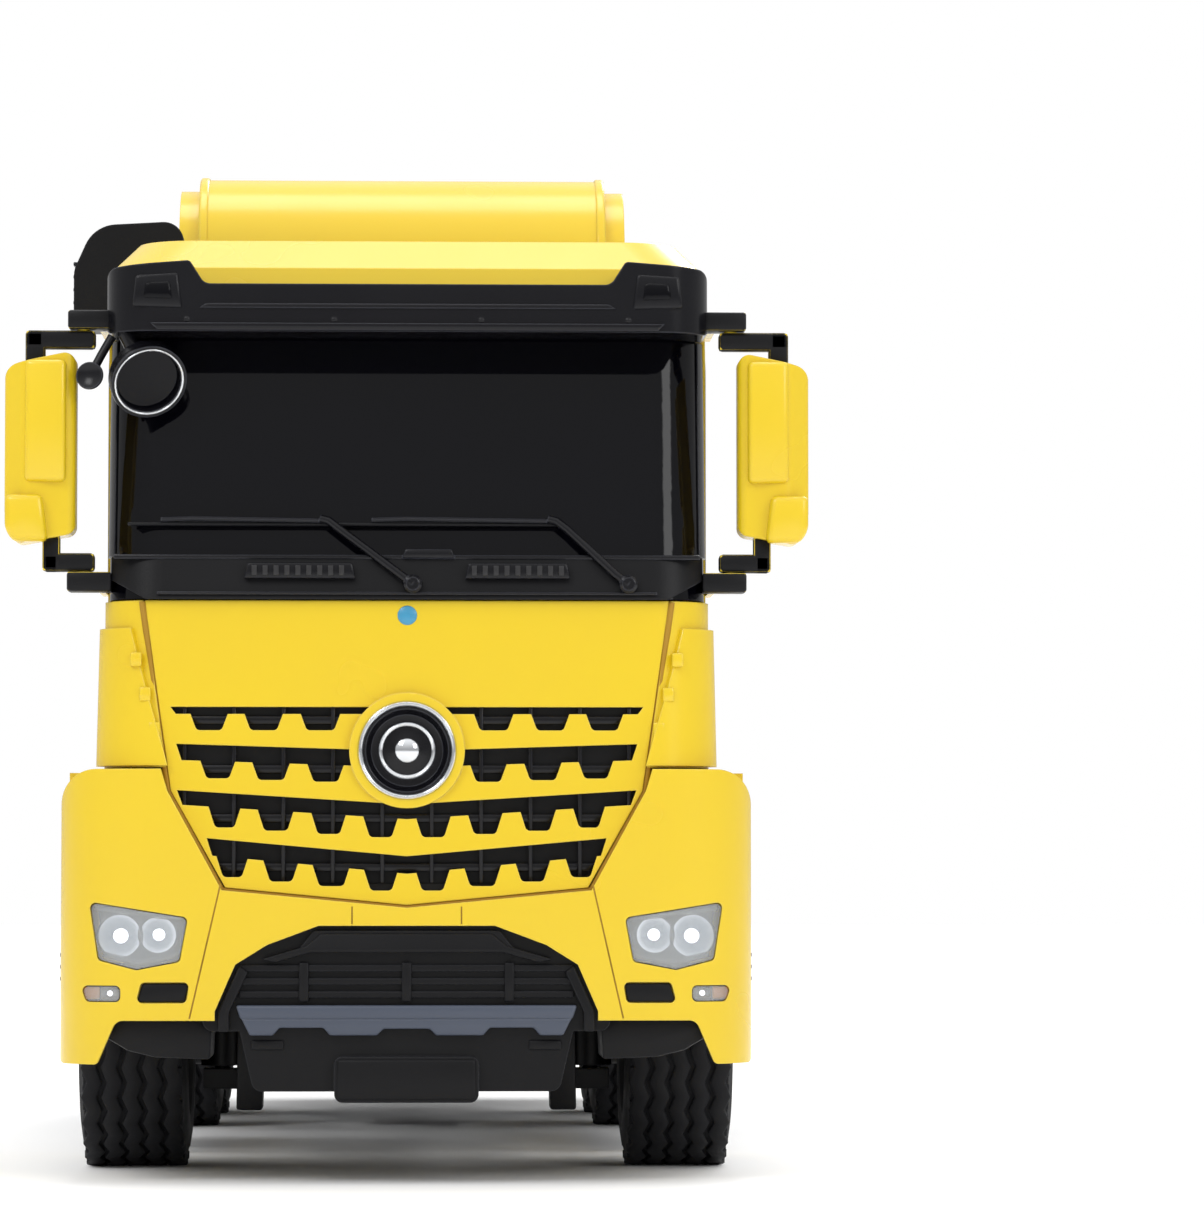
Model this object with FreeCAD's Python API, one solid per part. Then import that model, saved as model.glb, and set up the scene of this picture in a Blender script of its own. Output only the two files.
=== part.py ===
import FreeCAD, Part
import math
import os

V = FreeCAD.Vector

# A toy cement mixer truck, about 1:20, standing on its wheels on z = 0. Millimetres.
# x runs to the truck's left, y to its rear and z up; y = 0 is halfway along it.

# ---- overall ----
LENGTH = 410.0            # front bumper to rear bumper
BODY_WIDTH = 128.0        # over the front bumper and the wheel arches
CAB_WIDTH = 112.0
CAB_DEPTH = 93.0
MIRROR_REACH = 18.5       # how far a door mirror stands out from the cab's side
WALL = 2.0                # moulded shells
SEAM = 0.3                # air along a visible joint line
RUNNING = 0.08            # radial clearance of a shaft in its bore
AIR = 0.6                 # least air between bodies that move apart

# ---- wheels and steering ----
TYRE_DIA = 52.0
TYRE_WIDTH = 21.0
RIM_DIA = 31.0
TRACK = 126.0             # over the tyres
SHAFT_R = 2.0
FRONT_AXLE_SETBACK = 75.0
REAR_OVERHANG = 90.0
AXLE_SPACING = 65.0
ARCH_AIR = 9.0            # round the tyre
KINGPIN_R = 1.5
STEER_ARM = 18.0

# ---- heights above the bottom of the wheel arches ----
ARCH_DROP = 30.0          # tyre top down to the bottom of the wheel arches
FRAME_LOW = 16.0
FRAME_TOP = 36.0
SHOULDER = 54.0           # top of the bumper's corners
PANEL_LOW = 31.0
SILL = 85.0               # bottom of the windscreen
SCREEN_TOP = 135.0
ROOF = 154.0
TANK_Z = 160.0
DRUM_FRONT_Z = 96.0
DRUM_MOUTH_Z = 134.0
FLAP_LOW = 98.0
HOPPER_TOP = 194.0

# ---- frame ----
FRAME_HALF = 24.0
RAIL_T = 4.0

# ---- side tanks ----
TOOL_BOX_LEN = 72.0
SIDE_TANK_GAP = 1.0        # fuel tank to the mudguard

# ---- drum ----
DRUM_DIA = 122.0
DRUM_NECK_R = 29.0
DRUM_HEAD_R = 31.0
DRUM_BARREL = 42.0
DRUM_HEAD_LEN = 46.0
DRUM_WALL = 2.2
DRUM_SHAFT_R = 5.0
DRUM_FRONT_SETBACK = 64.0  # cab's back to the drum's front plate
DRUM_MOUTH_OVERHANG = 59.0  # drum's mouth to the rear bumper

# ---- water tank and intake ----
TANK_R = 20.0
TANK_LEN = 84.0
TANK_CAP = 4.0
TANK_SETBACK = 140.0
INTAKE_WIDTH = 9.0         # of the duct
INTAKE_INSET = 10.0        # duct's outer face inside the body's side
INTAKE_REACH = 3.0         # head's outer face past the body's side

# ---- discharge end ----
PEDESTAL_HALF = 38.0
PEDESTAL_DEPTH = 26.0
WINDOW_HALF = 20.8
HOPPER_HALF = 45.7
HOPPER_TOP_HALF = 35.0
BOWL_R = 28.8
FLAP_HALF = 48.0
FLAP_END_HALF = 16.5
CHUTE_SETBACK = 16.0       # rear bumper to the chute's pivot
CHUTE_LEN = 58.0
CHUTE_HALF = 10.2
CHUTE_HEAD_R = 14.2
CHUTE_STAND_OFF = 15.0     # pedestal's plate to the chute's pivot
CHUTE_PIN_R = 7.0
COLLAR_R = 11.5
COLLAR_H = 12.5
LADDER_IN = 47.0
LADDER_OUT = 70.5
LADDER_H = 51.0

# ---- drive and battery bay ----
GEAR_X = -12.0
GEAR_W = 4.0
GEAR_R = 10.5
PINION_R = 3.0
GEAR_MESH_AIR = 0.5
PINION_ANGLE = 23.0        # of the pinion above the level of the axle gear
MOTOR_R = 5.5
BAY_LEN = 64.0
BAY_BEHIND_TIE = 16.0
SWITCH_BEHIND_BAY = 14.0
CELL_R = 7.0
CELL_LEN = 27.0

# ---- worked out from the above ----
FRONT = -LENGTH / 2
REAR = LENGTH / 2
HALF_BODY = BODY_WIDTH / 2
HALF_CAB = CAB_WIDTH / 2
CAB_BACK = FRONT + CAB_DEPTH
HUB_Z = TYRE_DIA / 2
BASE = TYRE_DIA - ARCH_DROP
FRAME_Z0 = BASE + FRAME_LOW
FRAME_Z1 = BASE + FRAME_TOP
FRONT_AXLE_Y = FRONT + FRONT_AXLE_SETBACK
REAR_AXLE_Y = REAR - REAR_OVERHANG
MID_AXLE_Y = REAR_AXLE_Y - AXLE_SPACING
ARCH_R = TYRE_DIA / 2 + ARCH_AIR
TYRE_OUT = TRACK / 2
TYRE_IN = TYRE_OUT - TYRE_WIDTH
KINGPIN_X = TYRE_IN - 6.0
TIE_Y = FRONT_AXLE_Y + STEER_ARM
TANK_Y = FRONT + TANK_SETBACK
DRUM_START = V(0, CAB_BACK + DRUM_FRONT_SETBACK, BASE + DRUM_FRONT_Z)
DRUM_END = V(0, REAR - DRUM_MOUTH_OVERHANG, BASE + DRUM_MOUTH_Z)
DRUM_LEN = (DRUM_END - DRUM_START).Length
DRUM_AXIS = (DRUM_END - DRUM_START).normalize()
CHUTE_Y = REAR - CHUTE_SETBACK
PLATE_Y = CHUTE_Y - CHUTE_STAND_OFF
PEDESTAL_Y = PLATE_Y - PEDESTAL_DEPTH
COLLAR_TOP = BASE + FLAP_LOW - 25.0
SIDE_TANK_Y = FRONT_AXLE_Y + ARCH_R + 14.0
GUARD_Y0 = MID_AXLE_Y - ARCH_R - 1.0
GUARD_Y1 = REAR_AXLE_Y + ARCH_R + 1.0
FUEL_TANK_LEN = GUARD_Y0 - SIDE_TANK_GAP - SIDE_TANK_Y
INTAKE_OUT = HALF_BODY + INTAKE_REACH
DUCT_OUT = HALF_BODY - INTAKE_INSET
INTAKE_IN = DUCT_OUT - INTAKE_WIDTH
GEAR_CENTRES = GEAR_R + PINION_R + GEAR_MESH_AIR
PINION_Y = MID_AXLE_Y + GEAR_CENTRES * math.cos(math.radians(PINION_ANGLE))
PINION_Z = HUB_Z + GEAR_CENTRES * math.sin(math.radians(PINION_ANGLE))
BAY_Y0 = TIE_Y + BAY_BEHIND_TIE
BAY_Y1 = BAY_Y0 + BAY_LEN
SWITCH_Y = BAY_Y1 + SWITCH_BEHIND_BAY
MIRROR_X = HALF_CAB + 4.0
MIRROR_Y = FRONT + 11.0


def box(x0, x1, y0, y1, z0, z1):
    return Part.makeBox(x1 - x0, y1 - y0, z1 - z0, V(x0, y0, z0))


def rod(radius, start, end):
    along = end - start
    return Part.makeCylinder(radius, along.Length, start, along)


def mirrored(shape):
    return shape.mirror(V(0, 0, 0), V(1, 0, 0))


def pair(shape):
    return Part.makeCompound([shape, mirrored(shape)])


def joined(*shapes):
    whole = shapes[0].multiFuse(list(shapes[1:]))
    return whole.removeSplitter()


def wire(points, place):
    """A closed wire through corners (a, b, r), each rounded to its radius r."""
    corners = []
    for i, (a, b, r) in enumerate(points):
        here = V(a, b, 0)
        last = points[i - 1]
        following = points[(i + 1) % len(points)]
        to_last = (V(last[0], last[1], 0) - here).normalize()
        to_next = (V(following[0], following[1], 0) - here).normalize()
        if r == 0:
            corners.append((here, here, here))
            continue
        half = to_last.getAngle(to_next) / 2
        reach = r / math.tan(half)
        middle_way = (to_last + to_next).normalize()
        middle = here + middle_way * (r / math.sin(half) - r)
        corners.append((here + to_last * reach, middle, here + to_next * reach))
    edges = []
    for i, (start, middle, end) in enumerate(corners):
        before = corners[i - 1][2]
        if (start - before).Length > 1e-6:
            edges.append(Part.makeLine(place(before), place(start)))
        if (start - end).Length > 1e-6:
            edges.append(Part.Arc(place(start), place(middle), place(end)).toShape())
    return Part.Wire(edges)


def slab_front(points, y0, y1):
    """Outline of (x, z, r) corners, extruded along y."""
    outline = wire(points, lambda p: V(p.x, y0, p.y))
    return Part.Face(outline).extrude(V(0, y1 - y0, 0))


def slab_side(points, x0, x1):
    """Outline of (y, z, r) corners, extruded along x."""
    outline = wire(points, lambda p: V(x0, p.x, p.y))
    return Part.Face(outline).extrude(V(x1 - x0, 0, 0))


def slab_plan(points, z0, z1):
    """Outline of (x, y, r) corners, extruded along z."""
    outline = wire(points, lambda p: V(p.x, p.y, z0))
    return Part.Face(outline).extrude(V(0, 0, z1 - z0))


def symmetric(half):
    """A front outline from its right half, given bottom to top."""
    return half + [(-a, b, r) for a, b, r in reversed(half) if a != 0]


def turned(points, place, centre, axis):
    """Solid of revolution of a closed outline."""
    return Part.Face(wire(points, place)).revolve(centre, axis, 360)


# ---- cab ----
def cab_section(z, front, inset, shrink):
    half = HALF_CAB - inset - shrink
    y0 = front + inset
    y1 = CAB_BACK - inset
    r = 11.0 - inset
    corners = [(-half, y0, r), (half, y0, r), (half, y1, 3.0), (-half, y1, 3.0)]
    return wire(corners, lambda p: V(p.x, p.y, z))


def cab_body(inset):
    """The cab's outer form, offset inwards: upright panel, raked windscreen, crowned roof."""
    levels = [
        (BASE + PANEL_LOW - 4.0, FRONT + 1.0, 0.0),
        (BASE + SILL, FRONT + 4.0, 0.0),
        (BASE + SCREEN_TOP, FRONT + 14.0, 0.0),
        (BASE + ROOF - 6.0 - inset, FRONT + 18.0, 0.0),
        (BASE + ROOF - inset, FRONT + 26.0, 5.0),
    ]
    sections = [cab_section(z, front, inset, shrink) for z, front, shrink in levels]
    return Part.makeLoft(sections, True, True)


def panel_outline(gap):
    return symmetric([
        (0, BASE + 28.8 + gap, 0),
        (33.5 - gap, BASE + 32.0 + gap, 0),
        (43.5 - gap, BASE + 50.0, 0),
        (48.5 - gap, BASE + SILL, 0),
    ])


def grille_row(outer, inner, top_outer, top_inner, depth, teeth, drop):
    """One slot of the grille with its hanging teeth, right-hand side."""
    def top(x):
        return top_outer + (top_inner - top_outer) * (outer - x) / (outer - inner)
    bar = [(inner, top(inner) - depth, 0), (outer - 1.0, top(outer) - depth, 0)]
    bar += [(outer, top(outer), 0), (inner, top(inner), 0)]
    cut = slab_front(bar, FRONT - 1, FRONT + 12)
    for x0, x1 in teeth:
        z = top((x0 + x1) / 2) - depth
        tooth = [(x0, z + 0.5, 0), (x1, z + 0.5, 0), (x1 - 1.3, z - drop, 0.9), (x0 + 1.3, z - drop, 0.9)]
        cut = cut.fuse(slab_front(tooth, FRONT - 1, FRONT + 12))
    return cut


def grille_slots():
    rows = [
        grille_row(43.4, 0, BASE + 65.4, BASE + 65.4, 1.3, [(32.7, 39.9), (22.6, 30.0), (12.1, 19.7)], 3.0),
        grille_row(42.3, 0, BASE + 58.6, BASE + 57.3, 3.0, [(31.3, 38.0), (21.3, 28.5), (11.4, 18.4)], 3.1),
        grille_row(42.1, 0, BASE + 50.1, BASE + 47.5, 2.7,
                   [(30.3, 36.4), (20.6, 27.4), (11.0, 17.6), (1.5, 8.1)], 3.6),
        grille_row(36.6, 0, BASE + 41.3, BASE + 38.0, 3.2,
                   [(28.9, 34.9), (19.7, 26.3), (10.3, 17.3), (1.5, 7.9)], 3.5),
    ]
    slots = rows[0].multiFuse(rows[1:])
    return slots.fuse(mirrored(slots))


def cab_skin():
    return cab_body(0).cut(cab_body(WALL))


def cab_shell():
    """Sides, back and roof in one moulding, open in front for the panel and the windscreen."""
    shell = cab_skin()
    shell = shell.cut(box(-90, 90, FRONT - 5, CAB_BACK + 5, 0, BASE + SHOULDER + SEAM))
    shell = shell.cut(slab_front(panel_outline(0), FRONT - 5, FRONT + 14))
    front_gap = box(-90, 90, FRONT - 5, FRONT + 24, BASE + SILL, BASE + SCREEN_TOP)
    shell = shell.cut(front_gap)
    shell = shell.cut(slab_side(window_outline(0), -90, 90).common(window_depth()))
    lug = box(HALF_CAB - 1.0, MIRROR_X + 2.6, MIRROR_Y - 3, MIRROR_Y + 3, BASE + 87.0, BASE + 90.4)
    tab = slab_side([(MIRROR_Y - 3, BASE + 87.0, 0), (MIRROR_Y + 3, BASE + 87.0, 0),
                     (FRONT + 30.0, BASE + 87.0, 0), (FRONT + 30.0, BASE + 90.4, 0),
                     (MIRROR_Y - 3, BASE + 90.4, 0)], HALF_CAB, HALF_CAB + 1.2)
    upper = box(HALF_CAB - 1.0, MIRROR_X + 2.6, MIRROR_Y - 3, MIRROR_Y + 3, BASE + 135.6, BASE + 138.8)
    upper_tab = box(HALF_CAB - 0.6, HALF_CAB + 1.2, MIRROR_Y - 3, FRONT + 30.0, BASE + 135.6, BASE + 138.8)
    bore = rod(1.2 + RUNNING, V(MIRROR_X, MIRROR_Y, BASE + 80), V(MIRROR_X, MIRROR_Y, BASE + 145))
    lugs = joined(lug, tab).cut(bore)
    lugs = joined(lugs, upper, upper_tab).cut(bore)
    lugs = lugs.cut(cab_body(0.0)).cut(visor_solid())
    return joined(shell, lugs.fuse(mirrored(lugs)))


def window_outline(gap):
    low = BASE + SILL + 3.0 + gap
    high = BASE + SCREEN_TOP - 3.0 - gap
    return [(FRONT + 30 + gap, low, 2), (CAB_BACK - 14 - gap, low, 3),
            (CAB_BACK - 14 - gap, high, 4), (FRONT + 30 + gap, high, 4)]


def window_depth():
    """The outer 0.9 mm of the cab's sides, where the door glass is let in."""
    skin = box(HALF_CAB - 0.9, 90, FRONT, REAR, 0, 300)
    return skin.fuse(mirrored(skin))


def side_windows():
    pane = slab_side(window_outline(0.2), HALF_CAB - 0.9, HALF_CAB - 0.2)
    return pair(pane)


def front_panel():
    panel = cab_skin().common(slab_front(panel_outline(SEAM), FRONT - 5, FRONT + 12))
    panel = panel.cut(grille_slots())
    surround = rod(10.6, V(0, FRONT + 6, BASE + 57.4), V(0, FRONT + 1.4, BASE + 57.4))
    hole = rod(9.0, V(0, FRONT + 7, BASE + 57.4), V(0, FRONT - 2, BASE + 57.4))
    return joined(panel, surround).cut(hole)


def badge():
    """Plain ring badge: a dished disc in a bright ring."""
    centre = BASE + 57.4
    disc = rod(8.9, V(0, FRONT + 6, centre), V(0, FRONT + 1.5, centre))
    dish = rod(7.9, V(0, FRONT + 2.6, centre), V(0, FRONT, centre))
    return disc.cut(dish)


def grille_insert():
    z0 = BASE + PANEL_LOW + 2
    return slab_front([(-32, z0, 3), (32, z0, 3), (44, BASE + 50, 3), (44.5, BASE + 67.5, 3),
                       (-44.5, BASE + 67.5, 3), (-44, BASE + 50, 3)], FRONT + 6.2, FRONT + 8.0)


def windscreen():
    """Wrapped glazing with its pillars, in the cab's front opening."""
    skin = cab_body(0.8).cut(cab_body(0.8 + WALL))
    opening = box(-90, 90, FRONT - 5, FRONT + 24 - SEAM, BASE + SILL + SEAM, BASE + SCREEN_TOP - SEAM)
    return skin.common(opening)


def cowl():
    skin = cab_body(-1.2).cut(cab_body(0.8))
    outline = symmetric([(48.0, BASE + SILL + 0.2, 0), (54.6, BASE + SILL + 4.0, 0),
                         (54.6, BASE + SILL + 8.3, 0)])
    strip = slab_front(outline, FRONT - 5, FRONT + 18)
    return skin.common(strip)


def visor_solid():
    outline = symmetric([(HALF_CAB - 0.4, BASE + SCREEN_TOP - 0.6, 1),
                         (HALF_CAB - 0.4, BASE + 146.3, 2), (40.1, BASE + 147.5, 1),
                         (37.4, BASE + 143.2, 2)])
    block = slab_front(outline, FRONT + 1.0, FRONT + 26.0)
    half = HALF_CAB - 0.4
    plan = slab_plan([(-half, FRONT + 1.0, 9), (half, FRONT + 1.0, 9),
                      (half, FRONT + 26.0, 0), (-half, FRONT + 26.0, 0)], 0, 300)
    return block.common(plan)


def sun_visor():
    return visor_solid().cut(cab_body(0))


def screen_y(z):
    """Where the windscreen's face is at a height."""
    share = (z - BASE - SILL) / (SCREEN_TOP - SILL)
    return FRONT + 4.8 + 10.0 * share


def wiper(blade_start, blade_end, pivot):
    """A blade along the glass and its arm down to the cowl."""
    high = BASE + 99.6
    low = BASE + SILL + 3.0
    blade_y = screen_y(high) - 1.3
    foot = V(pivot, FRONT + 4.0, low)
    joint = V(blade_end, blade_y - 0.4, high)
    blade = rod(0.9, V(blade_start, blade_y, high), V(blade_end + 1.0, blade_y, high))
    arm = rod(0.9, foot + V(0, -2.4, 0), joint)
    cap = rod(1.9, foot + V(0, 0.0, 0), foot + V(0, -2.6, 0))
    cap = cap.cut(cab_body(-1.2))
    low_cab = cab_body(-1.2).common(box(-90, 90, FRONT - 9, 0, 0, BASE + SILL + 8.3))
    return joined(blade, arm, cap).cut(low_cab)


def wipers():
    return Part.makeCompound([wiper(-51.0, -15.5, 1.0), wiper(-12.3, 26.5, 40.7)])


def kerb_mirror():
    """Round dished mirror on an arm at the visor's right-hand corner."""
    centre = V(-48.0, FRONT + 5.5, BASE + 126.0)
    facing = V(0.25, -0.8, -0.45).normalize()
    disc = rod(7.0, centre + facing * 1.5, centre - facing * 1.5)
    dish = rod(6.0, centre + facing * 3, centre + facing * 0.4)
    arm = rod(1.5, centre, V(-52.0, FRONT + 6.0, BASE + SCREEN_TOP - 0.6))
    arm = arm.cut(rod(6.5, centre + facing * 6, centre))
    return joined(disc.cut(dish), arm)


def door_mirror():
    """Left-hand door mirror: housing, two arms and their hinge pins."""
    low = BASE + 95.5
    high = BASE + 131.5
    x1 = HALF_CAB + MIRROR_REACH
    x0 = MIRROR_X + 1.3
    plan = [(x0, MIRROR_Y - 3.0, 2), (x1 - 4, MIRROR_Y - 4.5, 3), (x1, MIRROR_Y - 1.0, 2),
            (x1, MIRROR_Y + 4.5, 1), (x0, MIRROR_Y + 4.5, 1)]
    housing = slab_plan(plan, low, high)
    front = [(x0, low + 2, 2), (x1 - 2, low, 2), (x1, low + 6, 3), (x1, high - 3, 3), (x0, high, 2)]
    housing = housing.common(slab_front(front, MIRROR_Y - 9, MIRROR_Y + 9))
    glass_recess = box(x0 + 1.5, x1 - 1.5, MIRROR_Y + 3.7, MIRROR_Y + 9, low + 3, high - 3)
    housing = housing.cut(glass_recess)
    top_z = BASE + 133.6
    low_z = BASE + 92.3
    y0 = MIRROR_Y - 1.6
    y1 = MIRROR_Y + 1.6
    top = box(MIRROR_X - 2, x1 - 4, y0, y1, top_z - 1.5, top_z + 1.5)
    top_post = box(x1 - 7.2, x1 - 4, y0, y1, high - 2, top_z)
    bottom = box(MIRROR_X - 2, x0 + 6, y0, y1, low_z - 1.5, low_z + 1.5)
    bottom_post = box(x0 + 3, x0 + 6, y0, y1, low_z, low + 4)
    top_pin = rod(1.2, V(MIRROR_X, MIRROR_Y, top_z), V(MIRROR_X, MIRROR_Y, BASE + 138.0))
    low_pin = rod(1.2, V(MIRROR_X, MIRROR_Y, BASE + 87.8), V(MIRROR_X, MIRROR_Y, low_z))
    return joined(housing, top, top_post, bottom, bottom_post, top_pin, low_pin)


# ---- bumper and lamps ----
def body_plan(inset):
    half = HALF_BODY - inset
    y1 = FRONT_AXLE_Y - ARCH_R - AIR
    return slab_plan([(-half, FRONT + inset, 16 - inset), (half, FRONT + inset, 16 - inset),
                      (half, y1, 0), (-half, y1, 0)], BASE - 5, BASE + 100)


def lower_opening(gap):
    return symmetric([(35.0 + gap, BASE - 10, 0), (35.0 + gap, BASE + 9.7, 0), (31.3 + gap, BASE + 18.2, 0),
                      (25.5, BASE + 21.8 + gap, 0), (16.1, BASE + 25.3 + gap, 0)])


def headlight_outline(gap):
    return [(39.9 - gap, BASE + 26.8 + gap, 1), (41.4 - gap, BASE + 18.7 - gap, 1),
            (49.3, BASE + 17.2 - gap, 1), (56.4 + gap, BASE + 19.0 - gap, 1),
            (58.1 + gap, BASE + 29.7 + gap, 1)]


def fog_outline(gap):
    return [(52.2 - gap, BASE + 11.4 - gap, 1), (58.6 + gap, BASE + 11.4 - gap, 1),
            (59.7 + gap, BASE + 14.4 + gap, 1), (52.2 - gap, BASE + 14.4 + gap, 1)]


def bumper_fascia():
    """Yellow lower front: corners, shoulders and the band under the grille panel."""
    outline = symmetric([(53.0, BASE + 8.0, 2), (56.5, BASE, 1), (HALF_BODY, BASE, 1),
                         (HALF_BODY, BASE + SHOULDER, 7), (45.0, BASE + SHOULDER, 0),
                         (43.5 + SEAM, BASE + 50.0, 0), (33.5 + SEAM, BASE + 31.8, 0)])
    outline.insert(7, (0, BASE + 28.6, 0))
    front = slab_front(outline, FRONT - 1, FRONT + 60)
    skin = body_plan(0).common(front)
    hollow = body_plan(WALL + 0.2).common(box(-90, 90, FRONT, FRONT + 90, 0, BASE + SHOULDER - 2.5))
    skin = skin.cut(hollow)
    skin = skin.cut(slab_front(lower_opening(0), FRONT - 5, FRONT + 60))
    for cut in (headlight_outline(0), fog_outline(0)):
        hole = slab_front(cut, FRONT - 5, FRONT + 22)
        skin = skin.cut(hole).cut(mirrored(hole))
    vent = slab_front([(40.2, BASE + 11.2, 1), (49.4, BASE + 11.2, 1), (48.4, BASE + 15.0, 1),
                       (39.6, BASE + 15.0, 1)], FRONT - 5, FRONT + 1.2)
    return skin.cut(vent).cut(mirrored(vent))


def headlight_lenses():
    skin = body_plan(0.2).cut(body_plan(1.6))
    lamp = skin.common(slab_front(headlight_outline(-0.15), FRONT - 5, FRONT + 22))
    fog = skin.common(slab_front(fog_outline(-0.15), FRONT - 5, FRONT + 22))
    return Part.makeCompound([lamp, mirrored(lamp), fog, mirrored(fog)])


def front_bumper():
    """Black lower grille, its valance and the number-plate box."""
    back = slab_front([(-38, BASE + 6, 2), (38, BASE + 6, 2), (34, BASE + 20, 2), (28, BASE + 24, 2),
                       (18, BASE + 27.6, 2), (-18, BASE + 27.6, 2), (-28, BASE + 24, 2),
                       (-34, BASE + 20, 2)], FRONT + 3.0, FRONT + 5.5)
    valance = slab_front([(-28, BASE - 5, 2), (28, BASE - 5, 2), (31, BASE + 8, 1), (-31, BASE + 8, 1)],
                         FRONT + 3.0, FRONT + 14)
    plate = slab_front([(-13.2, BASE - 7, 1.6), (13.2, BASE - 7, 1.6), (13.2, BASE + 1.4, 1.6),
                        (-13.2, BASE + 1.4, 1.6)], FRONT + 1.2, FRONT + 6)
    shelf = slab_front([(-20, BASE + 20.6, 0), (20, BASE + 20.6, 0), (17, BASE + 24.4, 1),
                        (-17, BASE + 24.4, 1)], FRONT + 0.8, FRONT + 4)
    bars = [box(-30.5, 30.5, FRONT + 1.6, FRONT + 3.2, BASE + z, BASE + z + 1.1) for z in (12.2, 14.6, 17.0)]
    stay = box(14, FRAME_HALF - 1, FRONT + 5.0, FRONT + 22, FRAME_Z0 + 1, FRAME_Z0 + 5)
    return joined(back, valance, plate, shelf, *bars, stay, mirrored(stay))


def skid_plate():
    return slab_front([(-28.5, BASE + 5.4, 1), (28.5, BASE + 5.4, 1), (31.1, BASE + 10.8, 1),
                       (-31.1, BASE + 10.8, 1)], FRONT, FRONT + 3.0)


def fender():
    """Left front wheel arch: outer lip and the liner over the tyre."""
    y0 = FRONT_AXLE_Y - ARCH_R
    y1 = FRONT_AXLE_Y + ARCH_R
    side = slab_side([(y0, HUB_Z + 12, 0), (y1 + 4, BASE + 8, 0), (y1 + 2, BASE + SHOULDER - 8, 6),
                      (y1 - 10, BASE + SHOULDER, 4), (y0, BASE + SHOULDER, 0)], HALF_BODY - 4, HALF_BODY)
    arch = rod(ARCH_R, V(-90, FRONT_AXLE_Y, HUB_Z), V(90, FRONT_AXLE_Y, HUB_Z))
    liner = rod(ARCH_R + 1.8, V(30, FRONT_AXLE_Y, HUB_Z), V(HALF_BODY - 3, FRONT_AXLE_Y, HUB_Z))
    liner = liner.common(box(0, 90, y0, y1 + 9, HUB_Z + 14, BASE + 90))
    top = box(HALF_CAB - 8, HALF_BODY - 3, y0, CAB_BACK + 1, BASE + SHOULDER - 2, BASE + SHOULDER)
    return joined(side, liner, top).cut(arch)


# ---- running gear ----
def tyre(side, y):
    """Tyre round its rim, with rounded shoulders."""
    r = TYRE_DIA / 2
    x0 = TYRE_IN
    x1 = TYRE_OUT
    rim = RIM_DIA / 2
    outline = [(x0 + 1, rim, 0), (x1 - 1, rim, 0), (x1, rim + 2.5, 1), (x1 - 0.5, r - 3.5, 2),
               (x1 - 4, r, 3), (x0 + 4, r, 3), (x0 + 0.5, r - 3.5, 2), (x0, rim + 2.5, 1)]
    shape = turned(outline, lambda p: V(p.x, y, HUB_Z + p.y), V(0, y, HUB_Z), V(1, 0, 0))
    return shape if side > 0 else mirrored(shape)


def rim(side, y, bore):
    """Dished rim with its hub."""
    r = RIM_DIA / 2
    x1 = TYRE_OUT - 1
    outline = [(TYRE_IN + 1, r - 1.6, 0), (x1 - 5, r - 1.6, 0), (x1 - 7, 6, 0), (TYRE_IN + 3, 6, 0),
               (TYRE_IN + 3, bore, 0), (x1 - 2, bore, 0), (x1 - 2, 5, 0.6), (x1 - 4.4, 6.5, 0.5),
               (x1 - 2.2, r - 2, 0.6), (x1, r - 1.2, 0), (x1, r, 0), (TYRE_IN + 1, r, 0)]
    shape = turned(outline, lambda p: V(p.x, y, HUB_Z + p.y), V(0, y, HUB_Z), V(1, 0, 0))
    return shape if side > 0 else mirrored(shape)


def knuckle():
    """Left steering knuckle: kingpin, stub axle and steering arm."""
    centre = V(KINGPIN_X, FRONT_AXLE_Y, HUB_Z)
    barrel = rod(4.2, centre - V(0, 0, 6.5), centre + V(0, 0, 6.5))
    pin = rod(KINGPIN_R, centre - V(0, 0, 10.5), centre + V(0, 0, 10.5))
    stub = rod(SHAFT_R, centre, V(TYRE_OUT - 2.2, FRONT_AXLE_Y, HUB_Z))
    washer = rod(3.4, V(TYRE_OUT - 2.7, FRONT_AXLE_Y, HUB_Z), V(TYRE_OUT - 1.6, FRONT_AXLE_Y, HUB_Z))
    collar = rod(3.4, centre, V(TYRE_IN + 2.6, FRONT_AXLE_Y, HUB_Z))
    arm = box(KINGPIN_X - 2.2, KINGPIN_X + 2.2, FRONT_AXLE_Y, TIE_Y, HUB_Z - 2, HUB_Z + 2)
    eye = rod(3.4, V(KINGPIN_X, TIE_Y, HUB_Z - 2), V(KINGPIN_X, TIE_Y, HUB_Z + 2))
    hole = rod(2.2, V(KINGPIN_X, TIE_Y, HUB_Z - 5), V(KINGPIN_X, TIE_Y, HUB_Z + 5))
    return joined(barrel, pin, stub, washer, collar, arm, eye).cut(hole)


def tie_rod():
    z = HUB_Z + 2 + AIR
    bar = box(-KINGPIN_X - 3, KINGPIN_X + 3, TIE_Y - 2.5, TIE_Y + 2.5, z, z + 3)
    peg = rod(1.0, V(KINGPIN_X, TIE_Y, HUB_Z - 2.6), V(KINGPIN_X, TIE_Y, z + 1))
    head = box(-5, 5, TIE_Y - 4.6, TIE_Y + 3.4, z, z + 3)
    slot = box(-1.4, 1.4, TIE_Y - 3.6, TIE_Y + 1.6, z - 1, z + 4)
    return joined(bar, peg, mirrored(peg), head).cut(slot)


def steering_servo():
    """Servo in the frame; its horn hangs below it."""
    top = FRAME_Z1 - WALL - 0.2
    return box(-9, 9, TIE_Y - 13, TIE_Y + 9, FRAME_Z0 + 3.2, top)


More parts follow.
